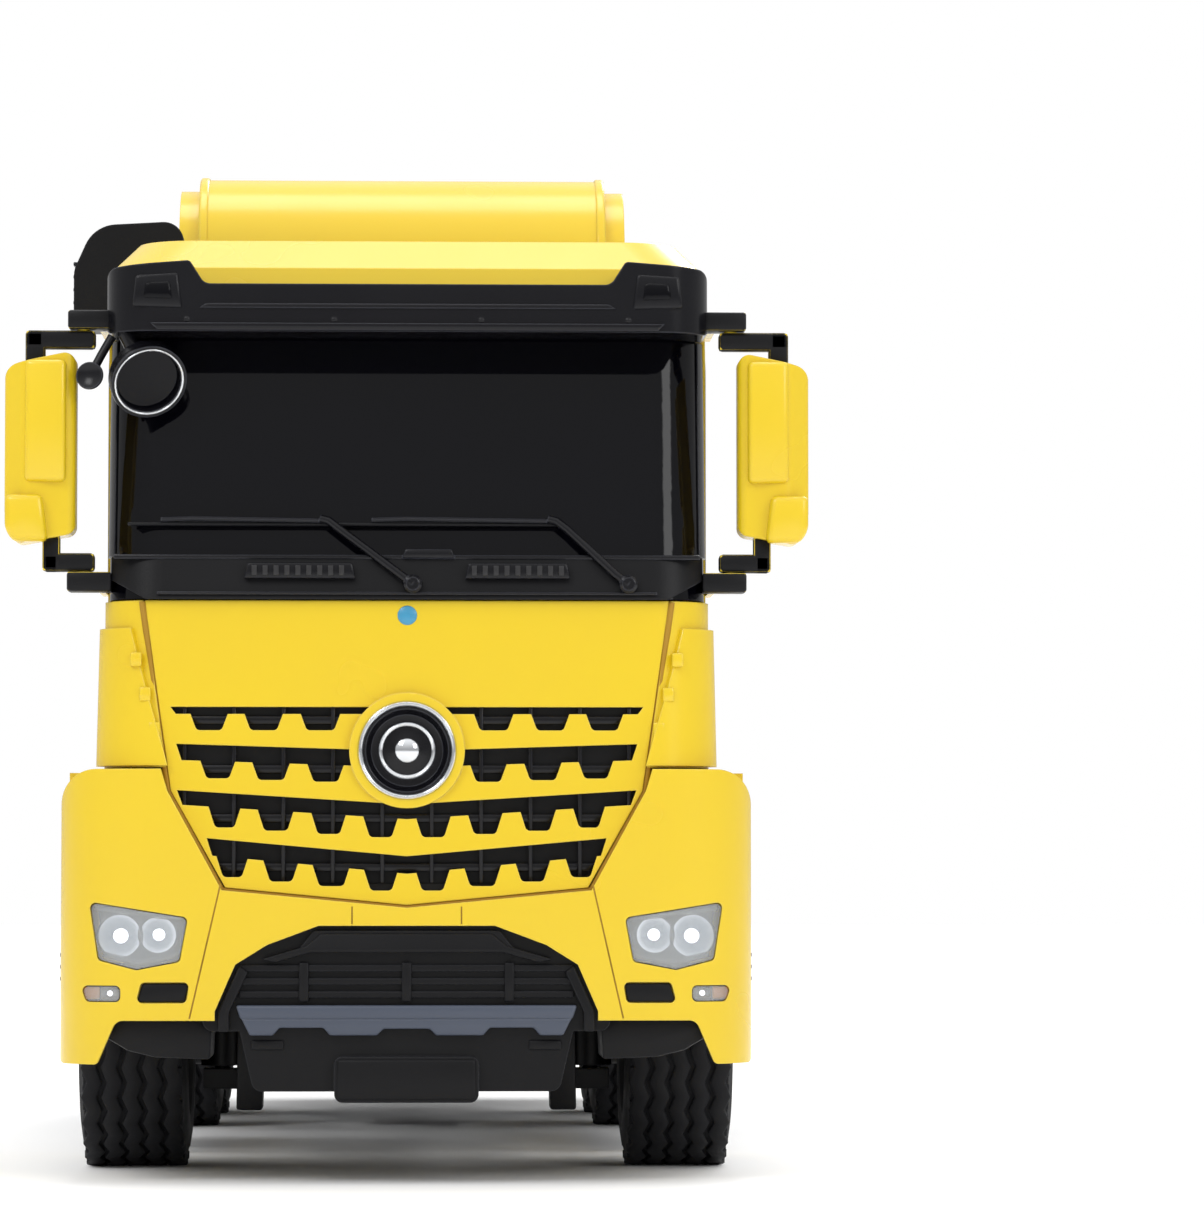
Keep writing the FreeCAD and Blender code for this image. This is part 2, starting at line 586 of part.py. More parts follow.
def servo_horn():
    z = HUB_Z + 2 + AIR
    pivot = V(0, TIE_Y - 9, FRAME_Z0 + 3.0)
    shaft = rod(2.0, V(0, TIE_Y - 9, z + 3.6), pivot)
    arm = box(-1.8, 1.8, TIE_Y - 9, TIE_Y, z + 3.6, z + 5.6)
    peg = rod(1.0, V(0, TIE_Y, z + 0.4), V(0, TIE_Y, z + 4))
    hub = rod(3.0, V(0, TIE_Y - 9, z + 3.6), V(0, TIE_Y - 9, z + 5.6))
    return joined(shaft, arm, peg, hub)


def front_axle_beam():
    y = FRONT_AXLE_Y
    beam = box(-KINGPIN_X + 7, KINGPIN_X - 7, y - 5, y + 5, HUB_Z + 5, FRAME_Z0)
    fork = box(KINGPIN_X - 10, KINGPIN_X + 3.6, y - 4.5, y + 4.5, HUB_Z - 11, FRAME_Z0)
    gap = box(KINGPIN_X - 5.2, KINGPIN_X + 9, y - 9, y + 9, HUB_Z - 7.1, HUB_Z + 7.1)
    bore = rod(KINGPIN_R + RUNNING, V(KINGPIN_X, y, HUB_Z - 20), V(KINGPIN_X, y, HUB_Z + 20))
    fork = fork.cut(gap).cut(bore)
    return joined(beam, fork, mirrored(fork))


def axle(y):
    return rod(SHAFT_R, V(-TYRE_OUT + 3.0, y, HUB_Z), V(TYRE_OUT - 3.0, y, HUB_Z))



def toothed(count, radius, y, z, bore):
    """Spur wheel with square-cut teeth."""
    x1 = GEAR_X + GEAR_W
    wheel = rod(radius - 0.9, V(GEAR_X, y, z), V(x1, y, z))
    tooth = box(GEAR_X, x1, y - 0.45, y + 0.45, z + radius - 1.4, z + radius)
    teeth = []
    for i in range(count):
        copy = tooth.copy()
        copy.rotate(V(0, y, z), V(1, 0, 0), 360.0 * i / count)
        teeth.append(copy)
    return joined(wheel, *teeth).cut(rod(bore, V(GEAR_X - 1, y, z), V(x1 + 1, y, z)))


def drive_gear():
    return toothed(24, GEAR_R, MID_AXLE_Y, HUB_Z, SHAFT_R)


def motor_pinion():
    spindle = rod(1.0, V(GEAR_X - 1.0, PINION_Y, PINION_Z), V(-6.6, PINION_Y, PINION_Z))
    return joined(toothed(8, PINION_R, PINION_Y, PINION_Z, 0.9), spindle)


def drive_motor():
    can = rod(MOTOR_R, V(-6.0, PINION_Y, PINION_Z), V(14.5, PINION_Y, PINION_Z))
    return can.cut(rod(1.0 + RUNNING, V(-8, PINION_Y, PINION_Z), V(0, PINION_Y, PINION_Z)))


def drive_gearbox():
    x0 = GEAR_X - 3.5
    y0 = MID_AXLE_Y - 14
    y1 = PINION_Y + 10
    z0 = HUB_Z - 14
    outer = box(x0, -x0 + 1, y0, y1, z0, FRAME_Z0)
    inner = box(x0 + 1.6, -x0 - 0.6, y0 + 1.6, y1 - 1.6, z0 + 1.6, FRAME_Z0 - 0.8)
    bore = rod(SHAFT_R + RUNNING, V(-40, MID_AXLE_Y, HUB_Z), V(40, MID_AXLE_Y, HUB_Z))
    return outer.cut(inner).cut(bore)


# ---- chassis ----
def chassis_frame():
    """Two rails, decks and axle hangers in one moulding."""
    rail = box(FRAME_HALF - RAIL_T, FRAME_HALF, FRONT + 22, REAR - 18, FRAME_Z0, FRAME_Z1)
    deck = box(-FRAME_HALF, FRAME_HALF, CAB_BACK + 2, REAR - 18, FRAME_Z1 - WALL, FRAME_Z1)
    nose = box(-FRAME_HALF, FRAME_HALF, FRONT + 22, FRONT + 30, FRAME_Z0, FRAME_Z1)
    cab_floor = box(-FRAME_HALF - 5, FRAME_HALF + 5, FRONT + 40, CAB_BACK, FRAME_Z1, FRAME_Z1 + 2.4)
    floor = box(-FRAME_HALF, FRAME_HALF, BAY_Y0 - 4, SWITCH_Y + 14, FRAME_Z0, FRAME_Z0 + WALL)
    floor = floor.cut(box(-17, 17, BAY_Y0, BAY_Y1, FRAME_Z0 - 1, FRAME_Z0 + WALL + 1))
    floor = floor.cut(box(-2.4, 2.4, SWITCH_Y - 5, SWITCH_Y + 5, FRAME_Z0 - 1, FRAME_Z0 + WALL + 1))
    parts = [deck, nose, cab_floor, floor, rail, mirrored(rail)]
    beam_seat = box(-FRAME_HALF, FRAME_HALF, FRONT_AXLE_Y - 6, FRONT_AXLE_Y + 4, FRAME_Z0, FRAME_Z0 + 3)
    parts.append(beam_seat)
    for y in (MID_AXLE_Y, REAR_AXLE_Y):
        hanger = slab_side([(y - 7, HUB_Z - 9, 3), (y + 7, HUB_Z - 9, 3), (y + 12, FRAME_Z0 + 10, 2),
                            (y - 12, FRAME_Z0 + 10, 2)], FRAME_HALF, FRAME_HALF + 7)
        hanger = hanger.cut(rod(SHAFT_R + RUNNING, V(0, y, HUB_Z), V(60, y, HUB_Z)))
        parts += [hanger, mirrored(hanger)]
    frame = joined(*parts)
    for y in (MID_AXLE_Y, REAR_AXLE_Y):
        frame = frame.cut(rod(SHAFT_R + RUNNING, V(-60, y, HUB_Z), V(60, y, HUB_Z)))
    return frame


def battery_door():
    return box(-16.8, 16.8, BAY_Y0 + 0.2, BAY_Y1 - 0.2, FRAME_Z0, FRAME_Z0 + WALL)


def battery_pack():
    """Two rows of two round cells in a sleeve."""
    cells = []
    for x in (-8.2, 8.2):
        for y in (BAY_Y0 + 5, BAY_Y0 + 33):
            cells.append(rod(CELL_R, V(x, y, FRAME_Z0 + 9.5), V(x, y + CELL_LEN, FRAME_Z0 + 9.5)))
    return Part.makeCompound(cells)


def circuit_board():
    board = box(-17, 17, BAY_Y1 + 2, SWITCH_Y + 12, FRAME_Z0 + 12, FRAME_Z0 + 13.6)
    chip = box(-6, 6, BAY_Y1 + 6, BAY_Y1 + 14, FRAME_Z0 + 13.6, FRAME_Z0 + 15.2)
    return joined(board, chip)


def power_switch():
    knob = box(-2.2, 2.2, SWITCH_Y - 2.8, SWITCH_Y + 2.8, FRAME_Z0 - 1.6, FRAME_Z0 + WALL + 0.4)
    keeper = box(-5, 5, SWITCH_Y - 4, SWITCH_Y + 4, FRAME_Z0 + WALL + 0.4, FRAME_Z0 + WALL + 2.4)
    return joined(knob, keeper)


def side_tank(length):
    """Box tank hung outside the left rail, behind the front wheel."""
    y0 = SIDE_TANK_Y
    outline = [(y0, BASE - 4, 4), (y0 + length, BASE - 4, 4), (y0 + length, BASE + 26, 4),
               (y0, BASE + 26, 4)]
    tank = slab_side(outline, FRAME_HALF + 12, TYRE_OUT - 2)
    stay = box(FRAME_HALF, FRAME_HALF + 13, y0 + 8, y0 + 14, FRAME_Z0 + 2, FRAME_Z0 + 7)
    other = box(FRAME_HALF, FRAME_HALF + 13, y0 + length - 14, y0 + length - 8, FRAME_Z0 + 2, FRAME_Z0 + 7)
    step = box(FRAME_HALF + 14, TYRE_OUT - 1, y0 + 4, y0 + length - 4, BASE + 26, BASE + 28)
    return joined(tank, stay, other, step)


# ---- behind the cab ----
def air_intake():
    """Duct up the cab's back with the rounded intake head at its top."""
    y0 = CAB_BACK + 1.5
    y1 = y0 + 17
    duct = box(-DUCT_OUT, -INTAKE_IN, y0, y1, FRAME_Z1, BASE + 148)
    foot = box(-DUCT_OUT, -FRAME_HALF + 2, y0 + 2, y0 + 12, FRAME_Z1, FRAME_Z1 + 5)
    head = slab_front([(-INTAKE_OUT, BASE + 145, 3), (-INTAKE_IN, BASE + 145, 2),
                       (-INTAKE_IN, BASE + 166, 4),
                       (-INTAKE_OUT + 4, BASE + 165, 7), (-INTAKE_OUT, BASE + 156, 5)], y0 - 0.5, y1 + 2)
    return joined(duct, foot, head)


def water_tank():
    z = BASE + TANK_Z
    middle = rod(TANK_R, V(-TANK_LEN / 2 - 1.2, TANK_Y, z), V(TANK_LEN / 2 - 1.2, TANK_Y, z))
    reach = TANK_LEN / 2 + TANK_CAP
    caps = rod(TANK_R - 2.4, V(-reach - 1.2, TANK_Y, z), V(reach - 1.2, TANK_Y, z))
    filler = rod(4.0, V(18, TANK_Y + 6, z + TANK_R - 4), V(18, TANK_Y + 6, z + TANK_R - 0.2))
    return joined(middle, caps, filler)


def drum_point(s):
    return DRUM_START + DRUM_AXIS * s


def front_pedestal():
    """Tower on the frame that carries the drum's front bearing and the water tank's saddle."""
    y = DRUM_START.y
    outline = [(y - 50, FRAME_Z1, 0), (y - 16, FRAME_Z1, 0), (y - 22, BASE + 78, 2), (y - 24, BASE + 113, 2),
               (y - 13, BASE + 128, 2), (y - 13, BASE + 148, 0), (y - 50, BASE + 148, 0)]
    tower = slab_side(outline, -24, 24)
    saddle = rod(TANK_R, V(-60, TANK_Y, BASE + TANK_Z), V(60, TANK_Y, BASE + TANK_Z))
    pocket = slab_side([(y - 47.5, FRAME_Z1 - 1, 0), (y - 27, FRAME_Z1 - 1, 0), (y - 33, BASE + 118, 2),
                        (y - 47.5, BASE + 118, 2)], -20, 20)
    bore = rod(DRUM_SHAFT_R + RUNNING, drum_point(-60), drum_point(20))
    return tower.cut(pocket).cut(saddle).cut(bore)


def drum_gearmotor():
    """Geared motor inside the front pedestal, driving the drum's shaft end on."""
    near = drum_point(-34.5)
    return rod(11.0, near, near - DRUM_AXIS * 9.5)


def drum_shaft():
    """Shaft and flange that carry the drum's front plate."""
    shaft = rod(DRUM_SHAFT_R, drum_point(-34.0), drum_point(0.0))
    flange = rod(17.0, drum_point(-2.4), drum_point(0.0))
    return joined(shaft, flange)


def drum_outline(offset):
    """(distance along the axis, radius) from the closed head to the mouth."""
    body = DRUM_DIA / 2
    shoulder = DRUM_LEN - 8.0
    return [(offset, DRUM_HEAD_R - offset, 0 if offset else 3), (9.0, 43.0 - offset, 6),
            (DRUM_HEAD_LEN, body - offset, 14), (DRUM_HEAD_LEN + DRUM_BARREL, body - offset, 14),
            (shoulder, DRUM_NECK_R - offset, 4)]


def along_drum(outline):
    """Solid of revolution about the drum's inclined axis."""
    shape = turned(outline, lambda p: V(0, p.x, p.y), V(0, 0, 0), V(0, 1, 0))
    tilt = math.degrees(math.atan2(DRUM_AXIS.z, DRUM_AXIS.y))
    shape.rotate(V(0, 0, 0), V(1, 0, 0), tilt)
    shape.translate(DRUM_START)
    return shape


def drum_space(air):
    """The room that the turning drum and its discharge take, with air all round."""
    end = DRUM_LEN + 40
    outline = [(-air, 0, 0)] + drum_outline(-air) + [(end, DRUM_NECK_R + air, 0), (end, 0, 0)]
    return along_drum(outline)


def drum_shell():
    outer = [(0, 0, 0)] + drum_outline(0)
    outer += [(DRUM_LEN, DRUM_NECK_R, 0), (DRUM_LEN, DRUM_NECK_R - DRUM_WALL, 0)]
    inner = list(reversed(drum_outline(DRUM_WALL))) + [(DRUM_WALL, 0, 0)]
    return along_drum(outer + inner)


# ---- discharge end ----
def rear_pedestal():
    """Stand for the drum's neck and the hopper, with its window, side flange and chute collar."""
    half = PEDESTAL_HALF
    z0 = FRAME_Z1 + 4
    outline = [(-half, z0, 0), (-half + 16, z0, 0), (-half + 16, BASE + 47.8, 2),
               (half - 16, BASE + 47.8, 2),
               (half - 16, z0, 0), (half, z0, 0), (half, BASE + 95.5, 0), (60.0, BASE + 95.5, 4),
               (60.0, BASE + 115, 4), (half, BASE + 115, 0), (half, BASE + 134, 3), (-half, BASE + 134, 3)]
    body = slab_front(outline, PEDESTAL_Y, PLATE_Y)
    inside = [(-half + 2, z0 - 1, 0), (-half + 14, z0 - 1, 0), (-half + 14, BASE + 49.8, 0),
              (half - 14, BASE + 49.8, 0), (half - 14, z0 - 1, 0), (half - 2, z0 - 1, 0),
              (half - 2, BASE + 97.5, 0), (58.0, BASE + 97.5, 2), (58.0, BASE + 113, 2),
              (half - 2, BASE + 113, 0), (half - 2, BASE + 140, 0), (-half + 2, BASE + 140, 0)]
    body = body.cut(slab_front(inside, PEDESTAL_Y - 1, PLATE_Y - 2.4))
    window = slab_front([(-WINDOW_HALF, BASE + 59.7, 2), (WINDOW_HALF, BASE + 59.7, 2),
                         (WINDOW_HALF, BASE + 88.9, 3), (-WINDOW_HALF, BASE + 88.9, 3)], 0, REAR)
    throat = slab_front([(-14, BASE + 102, 0), (14, BASE + 102, 0), (34, BASE + 140, 0),
                         (-34, BASE + 140, 0)], PLATE_Y - 5, REAR)
    body = body.cut(window).cut(throat)
    cradle = box(-half + 1, half - 1, PEDESTAL_Y - 10, PEDESTAL_Y + 2.4, BASE + 92, BASE + 126)
    cradle = cradle.cut(drum_space(AIR))
    collar = rod(COLLAR_R, V(0, CHUTE_Y, COLLAR_TOP - COLLAR_H), V(0, CHUTE_Y, COLLAR_TOP))
    arm = box(-6, 6, PLATE_Y - 2.4, CHUTE_Y - 5, COLLAR_TOP - COLLAR_H, COLLAR_TOP - 4)
    heel = box(-6, 6, PLATE_Y - 2.4, PLATE_Y + 1.8, BASE + 52, COLLAR_TOP - 4)
    sleeve = rod(CHUTE_PIN_R + RUNNING, V(0, CHUTE_Y, 0), V(0, CHUTE_Y, COLLAR_TOP + 9))
    ring = joined(collar, arm, heel).cut(sleeve)
    foot = box(-half, -half + 16, PEDESTAL_Y, PLATE_Y, z0, z0 + 2.4)
    return joined(body, cradle, ring, foot, mirrored(foot))


def hopper():
    """Plate at the back of the drum with the filling bowl let into it."""
    top = BASE + HOPPER_TOP
    low = BASE + 130
    outline = symmetric([(HOPPER_HALF, low, 2), (HOPPER_HALF, BASE + 154, 4),
                         (HOPPER_TOP_HALF, top, 4)])
    body = slab_front(outline, PEDESTAL_Y + 2, PLATE_Y)
    core = symmetric([(HOPPER_HALF - 2.2, low - 1, 0), (HOPPER_HALF - 2.2, BASE + 153, 4),
                      (HOPPER_TOP_HALF - 2, top - 2.2, 3)])
    body = body.cut(slab_front(core, PEDESTAL_Y, PLATE_Y - 2.4))
    centre = BASE + 170.2
    rim_z = BASE + 190
    dish_y = PEDESTAL_Y + 4
    bowl = [(-BOWL_R, centre, 0), (0, centre - BOWL_R, 0), (BOWL_R, centre, 0)]
    arc = Part.Arc(*[V(x, dish_y, z) for x, z, _ in bowl]).toShape()
    sides = Part.makePolygon([V(BOWL_R, dish_y, centre), V(BOWL_R, dish_y, rim_z),
                              V(-BOWL_R, dish_y, rim_z), V(-BOWL_R, dish_y, centre)])
    face = Part.Face(Part.Wire([arc] + sides.Edges))
    cavity = face.extrude(V(0, PLATE_Y - dish_y + 1, 0))
    wall = face.makeOffset2D(1.8).extrude(V(0, PLATE_Y - dish_y, 0))
    back = face.makeOffset2D(1.8).extrude(V(0, 2.0, 0))
    back.translate(V(0, -2.0, 0))
    throat = slab_front([(-16, low - 5, 0), (16, low - 5, 0), (30, BASE + 136, 0), (-30, BASE + 136, 0)],
                        PEDESTAL_Y, REAR)
    body = joined(body, wall.fuse(back)).cut(cavity).cut(throat)
    post_space = box(-PEDESTAL_HALF - 0.1, PEDESTAL_HALF + 0.1, PEDESTAL_Y - 2, PLATE_Y + 1, 0, BASE + 134.1)
    return body.cut(post_space)


def flap_section(z, half, inset):
    """Plan of the discharge hopper: flat against the plate, creased to the rear."""
    share = (z - BASE - FLAP_LOW) / 62.0
    side = PLATE_Y + 9 - 4 * share - inset * 0.7
    crease = REAR - 2.2 - inset * 1.2
    y0 = PLATE_Y + 0.1 if inset == 0 else PLATE_Y - 6
    points = [V(-half, y0, z), V(-half, side, z), V(0, crease, z), V(half, side, z), V(half, y0, z)]
    return Part.makePolygon(points + [points[0]])


def hopper_flap():
    """Creased collector that leads from the drum's mouth to the chute."""
    low = BASE + FLAP_LOW
    top = low + 62.0
    outer = Part.makeLoft([flap_section(low, FLAP_END_HALF, 0), flap_section(top, FLAP_HALF, 0)], True, True)
    inner_low = flap_section(low - 0.5, FLAP_END_HALF - 2.0, 2.0)
    inner = Part.makeLoft([inner_low, flap_section(top + 0.5, FLAP_HALF - 1.8, 2.0)], True, True)
    notch = slab_front([(0, BASE + 133, 0), (38, BASE + 157, 0), (42, top + 5, 0), (-42, top + 5, 0),
                        (-38, BASE + 157, 0)], PLATE_Y - 5, REAR + 5)
    return outer.cut(inner).cut(notch)


def chute():
    """Trough on its vertical pin, at rest turned out to the truck's left."""
    pivot_top = BASE + FLAP_LOW - 1.6
    stem = Part.makeCone(9.0, 10.5, pivot_top - COLLAR_TOP - 8, V(0, CHUTE_Y, COLLAR_TOP + 2))
    shoulder = rod(9.8, V(0, CHUTE_Y, COLLAR_TOP + AIR), V(0, CHUTE_Y, COLLAR_TOP + 3))
    pin = rod(CHUTE_PIN_R, V(0, CHUTE_Y, COLLAR_TOP - COLLAR_H - 2.4), V(0, CHUTE_Y, COLLAR_TOP + 3))
    end = rod(8.0, V(0, CHUTE_Y, COLLAR_TOP - COLLAR_H - 3.2), V(0, CHUTE_Y, COLLAR_TOP - COLLAR_H - AIR))
    fall = 0.62
    level = 4.0
    top = pivot_top - 0.4

    def trough(half, depth, x0, x1, lift):
        """Rounded channel, level over the pivot and then falling away."""
        sections = []
        for x in (x0, level, x1):
            z = top - max(0.0, x - level) * fall + lift
            corners = [(CHUTE_Y - half, z, 0), (CHUTE_Y - half * 0.72, z - depth, 3),
                       (CHUTE_Y + half * 0.72, z - depth, 3), (CHUTE_Y + half, z, 0)]
            sections.append(wire(corners, lambda p, at=x: V(at, p.x, p.y)))
        return Part.makeLoft(sections, True, True)

    body = trough(CHUTE_HALF, 14.0, -CHUTE_HEAD_R, CHUTE_LEN, 0)
    inside = trough(CHUTE_HALF - 1.6, 12.4, -CHUTE_HEAD_R + 2.0, CHUTE_LEN + 2, 0)
    head = rod(CHUTE_HEAD_R, V(0, CHUTE_Y, top - 40), V(0, CHUTE_Y, top))
    ahead = box(0, CHUTE_LEN + 5, CHUTE_Y - 20, CHUTE_Y + 20, 0, top)
    body = body.common(head.fuse(ahead))
    low_end = slab_front([(-20, top + 1, 0), (-20, top - 40, 0), (-10.0, COLLAR_TOP + 1, 0),
                          (-15, top - 3, 0)], CHUTE_Y - 20, CHUTE_Y + 20)
    whole = joined(stem, shoulder, pin, end, body.cut(low_end))
    return whole.cut(inside).cut(trough(CHUTE_HALF - 1.6, 12.4, -CHUTE_HEAD_R + 2.0, CHUTE_LEN + 2, 3.0))


def ladder():
    """Ladder box beside the hopper, its long leg down to the pedestal's flange."""
    z0 = BASE + 131
    y0 = PEDESTAL_Y + 10
    y1 = y0 + 12
    inner = box(LADDER_IN, LADDER_IN + 2.2, y0, y1, z0, z0 + LADDER_H)
    outer = box(LADDER_OUT - 2.2, LADDER_OUT, y0 + 2, y1 - 2, z0, z0 + LADDER_H)
    parts = [inner, outer]
    pitch = (LADDER_H - 3.6) / 5
    for i in range(6):
        z = z0 + i * pitch
        parts.append(box(LADDER_IN, LADDER_OUT, y0, y1, z, z + 3.6))
    leg = box(LADDER_OUT - 5, LADDER_OUT - 1, y0 + 4, y0 + 9, BASE + 97, z0 + 1)
    foot = box(60.0, LADDER_OUT - 1, y0 + 4, y0 + 9, BASE + 97, BASE + 110)
    for z in (BASE + 161, BASE + 165.6):
        parts.append(rod(1.7, V(HOPPER_HALF - 3.2, y0 + 6, z), V(LADDER_IN + 6, y0 + 6, z)))
    return joined(*parts, leg, foot).cut(hopper())


def rear_bumper():
    """Rear deck, light bar panel and bumper."""
    half = HALF_BODY - 1.4
    y1 = REAR - 1.0
    panel = slab_front(symmetric([(14, BASE - 9.5, 1), (18, BASE - 5.6, 1), (half - 3, BASE - 5.6, 2),
                                  (half, BASE, 2), (half, BASE + 36, 2), (50, BASE + 38.5, 1)]),
                       REAR - 14, y1)
    hollow = slab_front([(-half + 3, BASE - 3, 0), (half - 3, BASE - 3, 0), (half - 3, BASE + 33, 0),
                         (-half + 3, BASE + 33, 0)], REAR - 20, REAR - 4)
    panel = panel.cut(hollow)
    deck = box(-PEDESTAL_HALF - 2, PEDESTAL_HALF + 2, PEDESTAL_Y - 4, REAR - 10, FRAME_Z1, FRAME_Z1 + 4)
    guard_space = box(TYRE_IN - 3.5, 90, PEDESTAL_Y - 40, GUARD_Y1 - 7.5, FRAME_Z1 - 1, FRAME_Z1 + 5)
    deck = deck.cut(pair(guard_space))
    block = box(-18, 18, PEDESTAL_Y + 4, PLATE_Y - 6, FRAME_Z1 + 3, FRAME_Z1 + 10)
    recess = slab_front([(-18.4, BASE + 14.4, 2), (18.4, BASE + 14.4, 2), (18.4, BASE + 33, 2),
                         (-18.4, BASE + 33, 2)], y1 - 1.0, REAR + 5)
    for side in (1, -1):
        x0, x1 = sorted((side * 45.2, side * 62.0))
        pocket = box(x0, x1, y1 - 1.2, REAR + 5, BASE + 14.2, BASE + 22.4)
        panel = panel.cut(pocket)
    stays = box(-FRAME_HALF + RAIL_T, FRAME_HALF - RAIL_T, REAR - 18, REAR - 13, FRAME_Z0, FRAME_Z1)
    return joined(panel.cut(recess), deck, block, stays)


def tail_lamps():
    lamp = box(45.4, 61.8, REAR - 2.2, REAR, BASE + 14.4, BASE + 22.2)
    return pair(lamp)


def rear_mudguard():
    """Left mudguard over both rear wheels."""
    y0 = GUARD_Y0
    y1 = GUARD_Y1
    top = BASE + 39
    outer = [(y0, BASE + 18, 0), (y0 + 6, BASE + 34, 5), (y0 + 15, top, 5), (y1 - 15, top, 5),
             (y1 - 6, BASE + 34, 5), (y1, BASE + 18, 0)]
    inner = [(y1 - 2.6, BASE + 18, 0), (y1 - 8, BASE + 32.6, 4), (y1 - 16, top - 2.4, 4),
             (y0 + 16, top - 2.4, 4), (y0 + 8, BASE + 32.6, 4), (y0 + 2.6, BASE + 18, 0)]
    guard = slab_side(outer + inner, TYRE_IN - 3, TYRE_OUT + 0.8)
    stay = box(FRAME_HALF - 4, TYRE_IN + 2, (y0 + y1) / 2 - 5, (y0 + y1) / 2 + 5, FRAME_Z1, top - 1)
    return joined(guard, stay)


NODES = {
    "cab_shell": cab_shell(),
    "front_panel": front_panel(),
    "badge": badge(),
    "grille_insert": grille_insert(),
    "windscreen": windscreen(),
    "side_windows": side_windows(),
    "cowl": cowl(),
    "sun_visor": sun_visor(),
    "wipers": wipers(),
    "kerb_mirror": kerb_mirror(),
    "door_mirror_left": door_mirror(),
    "door_mirror_right": mirrored(door_mirror()),
    "bumper_fascia": bumper_fascia(),
    "headlight_lenses": headlight_lenses(),
    "front_bumper": front_bumper(),
    "skid_plate": skid_plate(),
    "fender_left": fender(),
    "fender_right": mirrored(fender()),
    "front_axle_beam": front_axle_beam(),
    "knuckle_left": knuckle(),
    "knuckle_right": mirrored(knuckle()),
    "tie_rod": tie_rod(),
    "steering_servo": steering_servo(),
    "servo_horn": servo_horn(),
    "drive_gear": drive_gear(),
    "motor_pinion": motor_pinion(),
    "drive_motor": drive_motor(),
    "drive_gearbox": drive_gearbox(),
    "chassis_frame": chassis_frame(),
    "battery_door": battery_door(),
    "battery_pack": battery_pack(),
    "circuit_board": circuit_board(),
    "power_switch": power_switch(),
    "fuel_tank": side_tank(FUEL_TANK_LEN),
    "tool_box": mirrored(side_tank(TOOL_BOX_LEN)),
    "air_intake": air_intake(),
    "water_tank": water_tank(),
    "front_pedestal": front_pedestal(),
    "drum_gearmotor": drum_gearmotor(),
    "drum_shaft": drum_shaft(),
    "drum_shell": drum_shell(),
    "rear_pedestal": rear_pedestal(),
    "hopper": hopper(),
    "hopper_flap": hopper_flap(),
    "chute": chute(),
    "ladder": ladder(),
    "rear_bumper": rear_bumper(),
    "tail_lamps": tail_lamps(),
    "rear_mudguard_left": rear_mudguard(),
    "rear_mudguard_right": mirrored(rear_mudguard()),
}
for name, side in (("left", 1), ("right", -1)):
    NODES["front_tyre_" + name] = tyre(side, FRONT_AXLE_Y)
    NODES["front_rim_" + name] = rim(side, FRONT_AXLE_Y, SHAFT_R + RUNNING)
for name, at in (("mid", MID_AXLE_Y), ("rear", REAR_AXLE_Y)):
    NODES[name + "_tyre_left"] = tyre(1, at)
    NODES[name + "_tyre_right"] = tyre(-1, at)
    NODES[name + "_axle"] = joined(axle(at), rim(1, at, SHAFT_R), rim(-1, at, SHAFT_R))

os.makedirs("parts", exist_ok=True)
for name, shape in NODES.items():
    shape.exportStep("parts/" + name + ".step")
    print(name, len(shape.Solids), shape.isValid(), round(shape.Volume / 1000, 2))
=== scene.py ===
import math

import bmesh
import bpy
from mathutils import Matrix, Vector


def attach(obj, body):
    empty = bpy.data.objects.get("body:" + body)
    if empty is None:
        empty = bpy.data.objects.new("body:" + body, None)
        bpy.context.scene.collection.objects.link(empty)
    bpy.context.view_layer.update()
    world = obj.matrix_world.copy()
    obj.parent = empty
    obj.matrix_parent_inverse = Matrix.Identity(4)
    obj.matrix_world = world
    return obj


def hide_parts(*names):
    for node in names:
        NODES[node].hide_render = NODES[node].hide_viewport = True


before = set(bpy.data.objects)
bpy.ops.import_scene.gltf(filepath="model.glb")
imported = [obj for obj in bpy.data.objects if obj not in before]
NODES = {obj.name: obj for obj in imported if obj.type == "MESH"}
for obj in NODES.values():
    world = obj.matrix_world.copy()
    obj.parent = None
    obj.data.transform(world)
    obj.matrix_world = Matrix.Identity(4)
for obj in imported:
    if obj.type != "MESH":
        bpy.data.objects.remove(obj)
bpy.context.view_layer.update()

MM = 0.001

# Sizes below are millimetres in the truck's own frame: x to its left, y to its rear, z up.
FRONT = -205.0
REAR = 205.0
AXLE_Y = {"front": -130.0, "mid": 50.0, "rear": 115.0}
HUB_Z = 26.0
TYRE_R = 26.0
TYRE_MID_X = 52.5
RIM_R = 15.5
DRUM_START = Vector((0.0, -48.0, 118.0))
DRUM_END = Vector((0.0, 146.0, 156.0))
PLATE_Y = 174.0
SIDES = (1, -1)
TYRE_HALF = 10.5
SMOOTH_BELOW = 38.0       # degrees between faces that shade as one
CORNER_X = 45.0           # centre of the cab's rounded front corners
CORNER_R = 11.0
CAB_FOOT_Z = 49.0
SILL_Z = 107.0
LEAN_BELOW_SILL = 3.0     # how far the cab's front leans back from foot to sill
LEAN_ABOVE_SILL = 10.0
TANK_Y = -65.0
TANK_Z = 182.0
LAMPS = ((52.6, 45.4), (45.6, 45.6))  # outer and inner headlight, x and z
TAIL_LED = (54.8, 40.2)
SCREW = (-29.4, PLATE_Y + 0.3, 108.2)
WHITE_DRUM = ("#e4e6ea", "#dcdfe5")


# ---- colour and nodes ----
def linear(code):
    """Linear RGBA of an sRGB hex colour."""
    parts = [int(code[i:i + 2], 16) / 255 for i in (1, 3, 5)]
    return [p / 12.92 if p <= 0.04045 else ((p + 0.055) / 1.055) ** 2.4 for p in parts] + [1.0]


